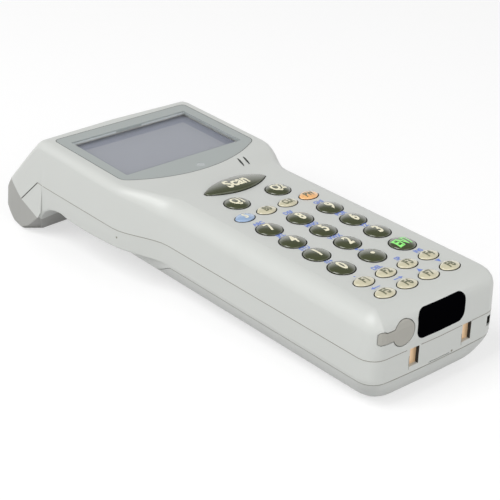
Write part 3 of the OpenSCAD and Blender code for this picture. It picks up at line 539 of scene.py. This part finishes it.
class TERMINAL_OT_seams(Operator):
    """Lays the case's and the cover's seams, the nose grooves and the small marks on the skin"""

    bl_idname = "terminal.seams"
    bl_label = "Seams and marks"

    def execute(self, context):
        looks = context.scene.terminal_looks.casing
        shade = finish("seam_shade", looks.seam, 0.8, grain_depth=0.2)
        dark = finish("groove_shade", np.array(looks.seam) / 5, 0.8, grain_depth=0.2)
        skin = np.concatenate([node_triangles(name) for name in CASING_NODES])
        cover_width = looks.seam_width * COVER_SEAM_SHARE

        # Each seam runs along one side, round the tail's corner and to its middle
        for side, name in ((-1, "left"), (1, "right")):
            starts, aims = round_the_tail(side, NOTCH_Y, SEAM_Z)
            self.line(f"case_seam_{name}", starts, aims, looks.seam_width, skin, shade)
            x = side * CLEAR_X
            slant = np.linspace([x, *GROOVE_FOOT], [x, NOTCH_Y, SEAM_Z], 16)
            self.line(f"nose_groove_{name}", slant, [-side, 0, 0], looks.groove_width, skin, dark)
            starts, aims = round_the_tail(side, COVER_SEAM_Y, COVER_SEAM_Z)
            self.line(f"cover_seam_{name}", starts, aims, cover_width, skin, shade)

        # Painted shade of two short upright grooves on the tail and of a dimple on the left side,
        # and a dot on the tail
        for name, x, z0, z1 in TAIL_LINES:
            starts = np.linspace([x, CLEAR_Y, z0], [x, CLEAR_Y, z1], 8)
            self.line(f"tail_line_{name}", starts, [0, 1, 0], TAIL_LINE_W, skin, shade)
        for name, start, aim in (
            ("dimple", (-CLEAR_X, 55.7, -18.3), (1, 0, 0)),
            ("dot", (6.7, CLEAR_Y, -23.0), (0, 1, 0)),
        ):
            path, normals = met_skin(placed(np.array([start]) * MM), turned([aim]), skin)
            points, faces = disc(path[0], normals[0], MARK_R)
            make_piece(f"mark_{name}", points, faces, shade)
        return {"FINISHED"}

    @staticmethod
    def line(name, starts, aims, width, skin, shade):
        """A dark line where rays from the starts meet the skin. The aims are one or one a ray."""
        aims = np.broadcast_to(aims, starts.shape)
        path, normals = met_skin(placed(starts * MM), turned(aims), skin)
        points, faces = ribbon(path, normals, width, SKIN_LIFT)
        make_piece(name, points, [faces], shade)


# ---------- keys ----------

# A key, its legend's words, height of a capital, share that is left of its width, and its ink
Key = namedtuple("Key", "name x y outline colour words capital narrow ink")

# Places on the plate's axes
SCAN_Y = 33.5
Q_X, Q_Y = 9.21, 21.6
EDIT_Y = 11.42
F_ROWS_Y = (-44.67, -53.75)

KEY_ANGLES = np.linspace(0, 2 * np.pi, 96, endpoint=False)
SMALL_END_R = 1.7 * MM  # round at each end of a small key
SCAN_TIP = 0.9 * MM  # the scan key's arcs would meet this far past its blunt tip
DOME = {"digit": (1, 1), "small": (0.75, 0.85), "scan": (1.3, 0.8)}  # shares of crown and width
CAP_CRISP_ANGLE = math.radians(40)
FLANGE_OUT, FLANGE_TOP, FLANGE_FOOT = 0.7 * MM, -2.32 * MM, -3.02 * MM
HAIR = 0.015 * MM  # the band of painted shade stands this far off its key's wall
SKIRT_TOP, SKIRT_FOOT = 0.08 * MM, -0.5 * MM
GAP_INNER, GAP_TRIM = 0.03 * MM, 0.01 * MM  # a gap's ring stays this far off wall and plate
GAP_FLOOR = -0.06 * MM
KEY_LETTER_WEIGHT, PRINT_WEIGHT = 0.034, 0.036
PRINT_NARROW = 0.86

# The print beside the keys: words, x and y on the plate's axes
PRINTED_WORDS = (
    ("ABC", -13.55, 5.6), ("DEF", -0.1, 5.8), ("GHI", 13.5, 5.8),
    ("JKL", -13.5, -5.65), ("MNO", 0.0, -5.6), ("PQR", 13.5, -5.5),
    ("STU", -13.4, -16.8), ("VWX", -0.1, -16.85), ("YZ", 13.4, -16.7),
    ("$/+", -13.6, -28.45), ("%,.", -0.2, -28.3),
    ("-", -14.2, -40.4), ("DEL", -4.5, -40.3), ("SP", 4.95, -40.1), ("INS", 14.1, -40.3),
)


def key_table(keys):
    """Every key, with its legend's capitals in millimetres."""
    digit, row, small = keys.digit_pitch, keys.digit_row_pitch, keys.small_pitch
    table = [
        Key("scan", 0.0, SCAN_Y * MM, "scan", "olive", "Scan", 5.5, 0.70, "cream"),
        Key("q1", -Q_X * MM, Q_Y * MM, "digit", "olive", "Q1", 4.6, 0.62, "cream"),
        Key("q2", Q_X * MM, Q_Y * MM, "digit", "olive", "Q2", 4.6, 0.62, "cream"),
    ]
    for i, (name, colour, words, narrow, ink) in enumerate((
        ("shift", "blue", "S", 0.8, "cream"), ("backspace", "beige", "BS", 0.7, "olive"),
        ("clear", "beige", "CLR", 0.55, "olive"), ("power", "orange", "PW", 0.60, "olive"),
    )):
        x = (i - 1.5) * small
        table.append(Key(name, x, EDIT_Y * MM, "small", colour, words, 3.1, narrow, ink))
    legends = {"point": (".", 6.0, 1, "cream"), "enter": ("ENT", 4.7, 0.54, "green")}
    for i, names in enumerate(("7 8 9", "4 5 6", "1 2 3", "0 point enter")):
        for j, name in enumerate(names.split()):
            legend = legends.get(name, (name, 4.9, 0.68, "cream"))
            table.append(Key(name, (j - 1) * digit, -i * row, "digit", "olive", *legend))
    for i in range(8):
        x, y = (i % 4 - 1.5) * small, F_ROWS_Y[i // 4] * MM
        table.append(Key(f"f{i + 1}", x, y, "small", "beige", f"F{i + 1}", 3.3, 0.72, "olive"))
    return table


def key_size(keys, outline):
    """Length and width of a key."""
    return {
        "digit": (keys.digit_d, keys.digit_d),
        "small": (keys.small_l, keys.small_w),
        "scan": (keys.scan_l, keys.scan_w),
    }[outline]


def key_reach(keys, outline):
    """Distance from a key's middle to its outline along each key angle: a circle for digits, two
    long arcs that meet end circles for small keys or are cut by a circle for the scan key."""
    length, width = key_size(keys, outline)
    if outline == "digit":
        return np.full_like(KEY_ANGLES, length / 2)
    scan = outline == "scan"
    end = 0 if scan else SMALL_END_R
    a = length / 2 + (SCAN_TIP if scan else -end)
    big = (a**2 + width**2 / 4 - end**2) / (width - 2 * end)
    sunk = big - width / 2
    cos, sin = np.abs(np.cos(KEY_ANGLES)), np.abs(np.sin(KEY_ANGLES))
    long_arc = np.sqrt(big**2 - (sunk * cos) ** 2) - sunk * sin
    if scan:
        return np.minimum(long_arc, length / 2)
    end_arc = a * cos + np.sqrt(np.maximum(end**2 - (a * sin) ** 2, 0))
    touch = a * big / (big - end)
    return np.where(long_arc * cos <= touch, long_arc, end_arc)


def key_dome(keys, outline, x, y):
    """Height of a key's dome over the plate: its crown less a power of the distance from the
    middle, in half lengths along the key and in a share of the half widths across it."""
    length, width = key_size(keys, outline)
    crown, across = DOME[outline]
    away = np.hypot(2 * x / length, 2 * y / width * across)
    return keys.edge_h + keys.crown * crown * (1 - np.minimum(away, 1) ** keys.dome_power)


def ring_points(reach, height):
    """Points at each reach along the key angles and at their heights, ring after ring."""
    x, y = reach * np.cos(KEY_ANGLES), reach * np.sin(KEY_ANGLES)
    return np.stack([x, y, height + np.zeros_like(x)], -1).reshape(-1, 3)


def key_cap(keys, outline):
    """A key's surface on a grid of angle and ring: rings spread over the dome, roll over the rim
    by a quarter round, run down the wall, step out to the flange and close at a pole below."""
    reach = key_reach(keys, outline)
    r = keys.rim_round
    spread = np.linspace(0, 1, 14)[1:, None] * (reach - r)
    roll = np.linspace(0, np.pi / 2, 7)[1:, None]
    top = np.concatenate([spread, reach - r * (1 - np.sin(roll))])
    level = key_dome(keys, outline, top * np.cos(KEY_ANGLES), top * np.sin(KEY_ANGLES))
    level[len(spread):] -= r * (1 - np.cos(roll))
    out = np.array([[0], [FLANGE_OUT], [FLANGE_OUT]])
    down = np.array([[FLANGE_TOP], [FLANGE_TOP], [FLANGE_FOOT]])
    rings = np.concatenate([top, reach + out])
    level = np.concatenate([level, down + np.zeros_like(reach)])
    rows, columns = rings.shape
    poles = np.array([[0, 0, key_dome(keys, outline, 0.0, 0.0)], [0, 0, FLANGE_FOOT]])
    first, last = np.arange(columns), np.arange(columns) + (rows - 1) * columns
    faces = [
        grid_faces(rows, columns, True)[:, ::-1],
        pole_faces(first, rows * columns, True),
        pole_faces(last, rows * columns + 1, False),
    ]
    return np.concatenate([ring_points(rings, level), poles]), faces


def key_gap_ring(keys, outline):
    """Painted shade at the bottom of the gap round a key: a flat dark ring from its wall to the
    plate's hole.
    """
    edges = np.array([[keys.gap - GAP_TRIM], [GAP_INNER]])
    return ring_points(key_reach(keys, outline) + edges, GAP_FLOOR)


def key_wall_shade(keys, outline):
    """Painted shade on the foot of a key's wall: a dark band on its outline grown by a hair, from
    below the plate up.
    """
    height = np.array([[SKIRT_TOP], [SKIRT_FOOT]])
    reach = np.tile(key_reach(keys, outline) + HAIR, (2, 1))
    return ring_points(reach, height), [grid_faces(2, len(KEY_ANGLES), True)[:, ::-1]]


def flat_letters(words, weight):
    """Points and triangles of flat letters whose strokes are grown by the weight."""
    curve = bpy.data.curves.new("letters", "FONT")
    curve.body = words
    curve.offset = weight
    curve.resolution_u = 5
    holder = add_object("letters", curve)
    seen = holder.evaluated_get(bpy.context.evaluated_depsgraph_get())
    mesh = bpy.data.meshes.new_from_object(seen)
    bpy.data.objects.remove(holder)
    points, corners = mesh_arrays(mesh)
    bpy.data.meshes.remove(mesh)
    return points[:, :2], corners


def lettering(words, capital, narrow, weight):
    """Flat letters with capitals of a given height, narrowed, round the origin."""
    points, corners = flat_letters(words, weight)
    scale = capital / np.ptp(flat_letters("H", weight)[0][:, 1])
    middle = (points.min(0) + points.max(0)) / 2
    return (points - middle) * scale * [narrow, 1], corners


def finer(points, corners, times):
    """Each triangle becomes four, cut at the middles of its sides, so many times."""
    for _ in range(times):
        a, b, c = (points[corners[:, i]] for i in range(3))
        ab, bc, ca = (a + b) / 2, (b + c) / 2, (c + a) / 2
        small = np.stack([a, ab, ca, ab, b, bc, ca, bc, c, ab, bc, ca], 1)
        small = small.reshape(-1, points.shape[1])
        points, corners = merged(small, np.arange(len(small)).reshape(-1, 3))
    return points, corners


class TERMINAL_OT_keys(Operator):
    """Replaces every key with a glossy domed cap, with painted shade on its wall's foot and in the
    gap round it
    """

    bl_idname = "terminal.keys"
    bl_label = "Keys"

    def execute(self, context):
        keys = context.scene.terminal_looks.keys
        finishes = {
            colour: finish(
                f"key_{colour}", getattr(keys, colour), 0.25, mottle=0.05, grain_depth=0.05,
                Coat_Weight=1.0, Coat_Roughness=0.04,
            )
            for colour in ("olive", "beige", "blue", "orange")
        }
        shade = finish(
            "gap_shade", (0.006, 0.006, 0.005), 0.9, grain_depth=0.0, Specular_IOR_Level=0.05
        )
        rings = []
        for key in key_table(keys):
            place, body = [key.x, key.y, 0], f"key_{key.name}"
            points, faces = key_cap(keys, key.outline)
            cap = make_piece(
                f"cap_{key.name}", placed(points + place), faces, finishes[key.colour], body,
                smooth_angle=CAP_CRISP_ANGLE,
            )
            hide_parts(f"key_{key.name}")
            # Painted shade: a dark band on the foot of the key's wall, and a dark ring in the gap
            # round it
            points, faces = key_wall_shade(keys, key.outline)
            make_piece(f"skirt_{key.name}", placed(points + place), faces, shade, body)
            rings.append(placed(key_gap_ring(keys, key.outline) + place))
        faces = grid_faces(2, len(KEY_ANGLES), True)
        faces = [faces + i * len(ring) for i, ring in enumerate(rings)]
        make_piece("key_gaps", np.concatenate(rings), faces, shade)
        return {"FINISHED"}


class TERMINAL_OT_key_legends(Operator):
    """Prints every key's legend on its dome"""

    bl_idname = "terminal.key_legends"
    bl_label = "Key legends"

    def execute(self, context):
        looks = context.scene.terminal_looks
        inks = {
            ink: finish(f"ink_{ink}", getattr(looks.legends, ink), roughness, grain_depth=0.1)
            for ink, roughness in (("cream", 0.35), ("olive", 0.40), ("green", 0.35))
        }
        for key in key_table(looks.keys):
            flat, corners = lettering(key.words, key.capital * MM, key.narrow, KEY_LETTER_WEIGHT)
            flat, corners = finer(flat, corners, 3)
            dome = key_dome(looks.keys, key.outline, *flat.T) + looks.legends.ink_lift
            points = placed(np.column_stack([flat, dome]) + [key.x, key.y, 0])
            body = f"key_{key.name}"
            make_piece(f"legend_{key.name}", points, [corners], inks[key.ink], body)
        return {"FINISHED"}


class TERMINAL_OT_printed_legends(Operator):
    """Prints the blue letters, symbols and arrows on the keypad plate"""

    bl_idname = "terminal.printed_legends"
    bl_label = "Printed legends"

    def execute(self, context):
        looks = context.scene.terminal_looks.legends
        ink = finish("ink_blue", looks.print_blue, 0.45, grain_depth=0.1)
        for i, (words, x, y) in enumerate(PRINTED_WORDS):
            flat, corners = lettering(words, looks.print_h, PRINT_NARROW, PRINT_WEIGHT)
            name = f"print_{i + 1:02d}"
            self.mark(name, flat, [corners], np.array([x, y]) * MM, looks.ink_lift, ink)
        # Arrows have a head and a shaft, and the marks for up and down are plain triangles
        arrow = np.array([
            [-1.95, 0], [-0.5, 0.75], [-0.5, -0.75],
            [-0.5, 0.22], [-0.5, -0.22], [1.95, -0.22], [1.95, 0.22],
        ]) * MM
        arrow_faces = [np.array([[0, 2, 1]]), np.array([[3, 4, 5, 6]])]
        wedge = np.array([[0, 0.95], [-1.0, -0.95], [1.0, -0.95]]) * MM
        wedge_faces = [np.array([[0, 1, 2]])]
        for name, outline, faces, x, y in (
            ("left", arrow, arrow_faces, -14.1, -49.4),
            ("right", -arrow, arrow_faces, -4.2, -49.4),
            ("up", wedge, wedge_faces, 4.85, -49.45),
            ("down", -wedge, wedge_faces, 14.3, -49.1),
        ):
            place = np.array([x, y]) * MM
            self.mark(f"print_{name}", outline, faces, place, looks.ink_lift, ink)
        return {"FINISHED"}

    @staticmethod
    def mark(name, flat, faces, place, lift, ink):
        """A flat printed mark at a place on the plate."""
        points = np.column_stack([flat + place, np.full(len(flat), lift)])
        make_piece(name, placed(points), faces, ink)


# ---------- screen ----------

# The head's top, on the plate's axes
HEAD_SLOPE = 0.019
HEAD_FOOT = np.array([0, 61, 0])  # the slope turns about a line here
HEAD_LEVEL = 1  # of the bezel's face over the plate, at that line
CLIMB_Y, CLIMB_L = 39, 9.5  # the face climbs to the head from here, over this length
CLIMB_STATIONS = np.linspace(35, 58, 8)

# Rounds of the bezel's outline: x and y of the middle, radius, first and last angle, points
BEZEL_ARCS = (
    (26.0, 61.32, 4.0, -57.7, 0, 10), (28.0, 99.5, 2.0, 0, 90, 10),
    (-28.0, 99.5, 2.0, 90, 180, 10), (-26.0, 61.32, 4.0, 180, 237.7, 10),
    (0.0, 102.5, 52.7, 237.7, 302.3, 40),
)
BEZEL_GROOVE_LIFT = 0.02 * MM

SLIT_XS, SLIT_Y, SLIT_HALF_L = (13.5, 16.1), 46.7, 2.9  # the buzzer's slits, with painted shade laid over them
SLIT_LEAN = math.radians(17)
SLIT_W, SLIT_LIFT = 0.8 * MM, 0.04 * MM

# The bright strips over the display, a pale wall with painted light where light enters at that
# edge: their ends in x, their foot and top, and their y
STRIP_ENDS, STRIP_SPAN, STRIP_Y = ((-26, -6), (5.7, 26)), (-1.18, -0.45), 95.95
PANEL_SKIN = 0.02  # the active area lies this far over the panel


def on_head(points):
    """Points with z over the bezel's sloping face to the plate's axes: a turn by the head's slope
    about the line at its foot."""
    slope = math.atan(HEAD_SLOPE)
    c, s = math.cos(slope), math.sin(slope)
    x, y, z = (np.asarray(points, float) - HEAD_FOOT * MM).T
    sloped = np.column_stack([x, y * c - z * s, y * s + z * c])
    return sloped + HEAD_FOOT * MM + [0, 0, HEAD_LEVEL * MM]


def head_sheet(ends, span, place, upright=False):
    """A flat grid between two x ends: either lying at a height over the bezel's face and spanning
    y, or standing at a y and spanning heights, facing the tail."""
    columns, rows = 24, 16
    u, v = np.meshgrid(np.linspace(*ends, columns), np.linspace(*span, rows))
    fixed = np.full_like(u, place)
    points = np.stack([u, fixed, v] if upright else [u, v, fixed], -1).reshape(-1, 3)
    return placed(on_head(points * MM)), [grid_faces(rows, columns, False)]


def plate_height(y):
    """Height of the face over the plate where it climbs to the screen: a smooth step times the
    head's level, straight between the form's stations."""
    share = np.clip((CLIMB_STATIONS - CLIMB_Y) / CLIMB_L, 0, 1)
    head = HEAD_LEVEL + HEAD_SLOPE * (CLIMB_STATIONS - HEAD_FOOT[1])
    return np.interp(y, CLIMB_STATIONS, share**2 * (3 - 2 * share) * head)


def bezel_edge():
    """The bezel's outline on the head's plane, as the points of its arcs."""
    places = []
    for x, y, r, start, end, count in BEZEL_ARCS:
        turn = np.radians(np.linspace(start, end, count))
        arc = [x + r * np.cos(turn), y + r * np.sin(turn), np.zeros_like(turn)]
        places.append(np.stack(arc, -1))
    return np.concatenate(places)


class TERMINAL_OT_screen(Operator):
    """Finishes the bezel and the display, lays painted shade over the buzzer's slits and painted
    light at the display's top edge
    """

    bl_idname = "terminal.screen"
    bl_label = "Screen"

    def execute(self, context):
        looks = context.scene.terminal_looks.screen
        satin = {"mottle": 0.01, "grain_depth": 0.1, "Coat_Weight": 0.1}
        dress(finish("bezel_plastic", looks.bezel, 0.34, **satin), "screen_bezel")
        dress(finish("panel_border", looks.panel, 0.5, grain_depth=0.1), "lcd_panel")
        active = finish("display_ground", looks.active, 0.55, mottle=0.02, grain_depth=0.1)
        groove = finish("bezel_groove_shade", (0.05, 0.055, 0.05), 0.8, grain_depth=0.1)
        strip = finish("display_edge", looks.strip, 0.4, grain_depth=0.1)

        w, h, mid = looks.active_w / MM, looks.active_h / MM, looks.active_y / MM
        height = PANEL_SKIN - looks.panel_depth / MM
        points, faces = head_sheet((-w / 2, w / 2), (mid - h / 2, mid + h / 2), height)
        make_piece("display_area", points, faces, active)

        path = placed(on_head(bezel_edge() * MM))
        up = np.full_like(path, turned(on_head([[0, 0, MM]]) - on_head([[0, 0, 0]])) / MM)
        points, faces = ribbon(path, up, looks.groove_width, BEZEL_GROOVE_LIFT)
        make_piece("bezel_groove", points, [faces], groove)

        # Painted shade over the slits: dark strips that lean to the right and get narrower at their
        # ends
        along = np.linspace(-1, 1, 12)[:, None]
        width = SLIT_W * np.sqrt(1.02 - along**2)
        for i, x in enumerate(SLIT_XS):
            slit = [x, SLIT_Y] + along * SLIT_HALF_L * [math.sin(SLIT_LEAN), math.cos(SLIT_LEAN)]
            path = placed(np.column_stack([slit, plate_height(slit[:, 1])]) * MM)
            points, faces = ribbon(path, np.full_like(path, PLATE_UP), width, SLIT_LIFT)
            make_piece(f"slit_{i + 1}", points, [faces], groove)
        # Painted light: pale upright strips at the display's top edge, brighter for the light that
        # enters there
        for i, ends in enumerate(STRIP_ENDS):
            points, faces = head_sheet(ends, STRIP_SPAN, STRIP_Y, upright=True)
            make_piece(f"display_edge_{i + 1}", points, faces, strip)
        return {"FINISHED"}


# ---------- windows, tail face, scanner and inner pieces ----------

# Slots on the plate's axes. The dark sheets of painted shade in them lie this far off the walls.
WALL_GAP = 0.02
CONTACT_SLOT_XS, CONTACT_SLOT_W = (1.3 - 23.5 / 2, 1.3 + 23.5 / 2), 3.9
CONTACT_SLOT_Y, CONTACT_SLOT_Z = (-64.05, -62.82), (-21.75, -15.45)
STRAP_X, STRAP_Y, STRAP_Z, STRAP_SIDE_X = (23.13, 25.77), (-62.4, -56.23), (-20.52, -16.88), 27.9

# Name, colour, roughness and other values of a finish, and the nodes that have it
PART_FINISHES = (
    ("light_lens", (0.37, 0.40, 0.40), 0.2,
     {"grain_depth": 0.05, "Coat_Weight": 0.4}, "indicator_light"),
    ("window_glass", (0.9, 0.92, 0.95), 0.06,
     {"grain_depth": 0.0, "Alpha": 0.04}, "screen_window"),
    ("ir_filter", (0.001, 0.001, 0.0015), 0.35,
     {"grain_depth": 0.03, "Specular_IOR_Level": 0.0}, "ir_window"),
    ("contact_copper", (0.86, 0.60, 0.36), 0.35,
     {"mottle": 0.08, "Metallic": 0.35}, "charge_contacts"),
    ("reading_glass", (0.10, 0.008, 0.008), 0.06,
     {"grain_depth": 0.02, "Coat_Weight": 1.0}, "scan_window"),
    ("light_bar_red", (0.35, 0.01, 0.01), 0.2, {}, "scan_light_bar"),
    ("black_plastic", (0.012, 0.012, 0.013), 0.45, {"marks": 0.2},
     "scan_engine", "ir_module", "jack_socket", "board_chips", "buzzer"),
    ("bright_steel", (0.62, 0.62, 0.64), 0.28, {"mottle": 0.05, "Metallic": 1.0},
     "hinge_pin", "case_screws", "lcd_frame", "scan_bracket", "contact_sheet", "backup_cell"),
    ("brass_plate", (0.72, 0.52, 0.20), 0.30, {"mottle": 0.08, "Metallic": 1.0},
     "board_spacers", "battery_contacts"),
    ("circuit_board", (0.012, 0.11, 0.045), 0.4, {"mottle": 0.15}, "key_board", "main_board"),
    ("ribbon_film", (0.60, 0.22, 0.03), 0.35, {"mottle": 0.08}, "lcd_ribbon", "scan_ribbon"),
    ("rubber_mat", (0.21, 0.23, 0.21), 0.7, {"mottle": 0.05}, "keypad_mat"),
    ("rubber_seal", (0.045, 0.045, 0.048), 0.75, {}, "case_seal"),
    ("pack_shrink", (0.033, 0.037, 0.048), 0.4, {"marks": 0.1}, "battery_pack"),
)


def strap_duct():
    """Painted shade in the strap's square duct, in from the tail face and out to the right side, as
    three
    stations of four corners: bottom and top of the outer wall, then top and bottom of the inner
    one."""
    (x0, x1), (y0, y1), (z0, z1) = STRAP_X, STRAP_Y, STRAP_Z
    outer = np.array([[x0, y0], [x0, y1], [STRAP_SIDE_X, y1]])
    turn_y = y1 - (x1 - x0)
    inner = np.array([[x1, y0], [x1, turn_y], [STRAP_SIDE_X, turn_y]])
    plan = np.stack([outer, outer, inner, inner], 1)
    height = np.broadcast_to(np.array([z0, z1, z1, z0])[:, None], (3, 4, 1))
    points = np.concatenate([plan, height], -1).reshape(-1, 3)
    return placed(points * MM), grid_faces(3, 4, True)


class TERMINAL_OT_small_parts(Operator):
    """Finishes the windows, the light, the contacts, the scanner and the pieces inside, and lays
    painted shade in the contact slots and the strap's duct
    """

    bl_idname = "terminal.small_parts"
    bl_label = "Small parts"

    def execute(self, context):
        for name, colour, roughness, values, *nodes in PART_FINISHES:
            dress(finish(name, colour, roughness, **values), *nodes)
        # Painted shade: dark sheets on one wall of each contact slot and round the strap's duct,
        # where these are in shadow
        wall = finish("slot_shade", (0.02, 0.018, 0.015), 0.8, grain_depth=0.1)
        rows, columns = 12, 4
        y, z = np.meshgrid(
            np.linspace(*CONTACT_SLOT_Y, columns), np.linspace(*CONTACT_SLOT_Z, rows)
        )
        for i, middle in enumerate(CONTACT_SLOT_XS):
            x = np.full_like(y, middle + CONTACT_SLOT_W / 2 - WALL_GAP)
            points = placed(np.stack([x, y, z], -1).reshape(-1, 3) * MM)
            faces = [grid_faces(rows, columns, False)]
            make_piece(f"slot_wall_{i + 1}", points, faces, wall)
        points, faces = strap_duct()
        make_piece("strap_lining", points, [faces], wall)
        return {"FINISHED"}


# ---------- studio ----------

FLOOR_HALF = 3.0
FLOOR_BOUNCE = 0.48  # share of the floor's colour that it throws back on the terminal
FLOOR_GLOW, FLOOR_SEEN = 0.6, 0.45  # shares of its own light and of its shade where it is seen
SKY_FADE = (0.44, 0.66)  # the sky darkens between these heights of a unit direction
CAMERA_CLIP = (0.01, 20)
SENSOR_W = 36
SOFTBOX_LEFT = ((-0.76, 0.06, 0.95), 0.75)  # place and size
SOFTBOX_FRONT = ((-0.10, -0.95, 0.36), 0.80)


def seen_rays(tree):
    """One for the camera's rays and those mirrored or let through, and zero for rays that light
    the object."""
    rays = tree.nodes.new("ShaderNodeLightPath")
    share = rays.outputs["Is Camera Ray"]
    for kind in ("Is Glossy Ray", "Is Transmission Ray"):
        either = tree.nodes.new("ShaderNodeMath")
        either.operation = "MAXIMUM"
        tree.links.new(share, either.inputs[0])
        tree.links.new(rays.outputs[kind], either.inputs[1])
        share = either.outputs[0]
    return share


def floor_material(colour):
    """Matt floor that glows where it is seen, so that the terminal's shadow stays light."""
    colour = np.array(colour)
    material = finish(
        "studio_floor", colour * FLOOR_BOUNCE, 0.9, mottle=0.004, grain_depth=0.0,
        Specular_IOR_Level=0.1,
    )
    tree = material.node_tree
    bsdf = tree.nodes["Principled BSDF"]
    bsdf.inputs["Emission Color"].default_value = (*(colour * FLOOR_GLOW), 1)
    seen = seen_rays(tree)
    tree.links.new(seen, bsdf.inputs["Emission Strength"])
    base = bsdf.inputs["Base Color"]
    tone = mix_colours(tree, seen, base.links[0].from_socket, colour * FLOOR_SEEN)
    tree.links.new(tone, base)
    return material


def add_floor(colour):
    """A flat square grid under the terminal."""
    count = 9
    line = np.linspace(-FLOOR_HALF, FLOOR_HALF, count)
    u, v = np.meshgrid(line, line)
    points = np.stack([u, v, np.zeros_like(u)], -1).reshape(-1, 3)
    mesh = bpy.data.meshes.new("studio_floor")
    mesh.from_pydata(points.tolist(), [], grid_faces(count, count, False).tolist())
    mesh.materials.append(floor_material(colour))
    floor = add_object("studio_floor", mesh)


def add_sky(strength, zenith):
    """An even white sky round the horizon that fades overhead. Where it is seen it is white."""
    world = bpy.data.worlds.new("studio_sky")
    bpy.context.scene.world = world
    world.use_nodes = True
    tree = world.node_tree
    link = tree.links.new
    sky = tree.nodes["Background"]
    sky.inputs["Color"].default_value = (1, 1, 1, 1)
    level = add_node(tree, "MapRange", To_Min=strength, To_Max=1.0)
    low, high = SKY_FADE
    fade = add_node(tree, "MapRange", From_Min=low, From_Max=high, To_Min=1.0, To_Max=zenith)
    heading = tree.nodes.new("ShaderNodeTexCoord")
    height = tree.nodes.new("ShaderNodeSeparateXYZ")
    product = tree.nodes.new("ShaderNodeMath")
    product.operation = "MULTIPLY"
    link(seen_rays(tree), level.inputs["Value"])
    link(heading.outputs["Generated"], height.inputs[0])
    link(height.outputs["Z"], fade.inputs["Value"])
    link(level.outputs["Result"], product.inputs[0])
    link(fade.outputs["Result"], product.inputs[1])
    link(product.outputs[0], sky.inputs["Strength"])


def stand(name, data, place, target):
    """A camera or a light that stands at a place and looks at a target."""
    made = add_object(name, data)
    made.location = place
    made.rotation_mode = "QUATERNION"
    made.rotation_quaternion = (Vector(target) - Vector(place)).to_track_quat("-Z", "Y")
    return made


class TERMINAL_OT_studio(Operator):
    """Sets up the camera, the pale floor, the even light and the two softboxes"""

    bl_idname = "terminal.studio"
    bl_label = "Studio"

    def execute(self, context):
        looks = context.scene.terminal_looks.studio
        scene = context.scene
        scene.view_settings.view_transform = "Standard"
        add_floor(looks.floor)
        add_sky(looks.sky, looks.zenith)
        for name, (place, size), power in (
            ("softbox_left", SOFTBOX_LEFT, looks.key_power),
            ("softbox_front", SOFTBOX_FRONT, looks.fill_power),
        ):
            light = bpy.data.lights.new(name, "AREA")
            light.shape = "SQUARE"
            light.size = size
            light.energy = power
            stand(name, light, place, (0, 0, 0))
        lens = bpy.data.cameras.new("studio_camera")
        lens.lens, lens.sensor_width = looks.lens, SENSOR_W
        lens.clip_start, lens.clip_end = CAMERA_CLIP
        scene.camera = stand("studio_camera", lens, looks.eye, looks.target)
        return {"FINISHED"}


# ---------- panel and registration ----------

STEPS = (
    TERMINAL_OT_casing, TERMINAL_OT_seams, TERMINAL_OT_keys, TERMINAL_OT_key_legends,
    TERMINAL_OT_printed_legends, TERMINAL_OT_screen, TERMINAL_OT_small_parts, TERMINAL_OT_studio,
)


class TERMINAL_PT_sidebar(Panel):
    """Lists the looks and the steps that build them"""

    bl_idname = "TERMINAL_PT_sidebar"
    bl_label = "Data terminal"
    bl_space_type = "VIEW_3D"
    bl_region_type = "UI"
    bl_category = "Terminal"

    def draw(self, context):
        looks = context.scene.terminal_looks
        for group in (looks.casing, looks.keys, looks.legends, looks.screen, looks.studio):
            box = self.layout.box()
            for prop in group.bl_rna.properties:
                if prop.identifier not in ("rna_type", "name"):
                    box.prop(group, prop.identifier)
        for step in STEPS:
            self.layout.operator(step.bl_idname)


CLASSES = (
    CasingLooks, KeyLooks, LegendLooks, ScreenLooks, StudioLooks, TerminalLooks,
    *STEPS, TERMINAL_PT_sidebar,
)


def register():
    """Adds the classes, and the looks to the scene."""
    for cls in CLASSES:
        bpy.utils.register_class(cls)
    Scene.terminal_looks = PointerProperty(type=TerminalLooks)


def unregister():
    """Takes the looks and the classes away again."""
    del Scene.terminal_looks
    for cls in reversed(CLASSES):
        bpy.utils.unregister_class(cls)


def main():
    """Builds everything in order."""
    register()
    for step in STEPS:
        family, name = step.bl_idname.split(".")
        result = getattr(getattr(bpy.ops, family), name)()
        if result != {"FINISHED"}:
            raise RuntimeError(f"{step.bl_label} did not finish")


if __name__ == "__main__":
    main()
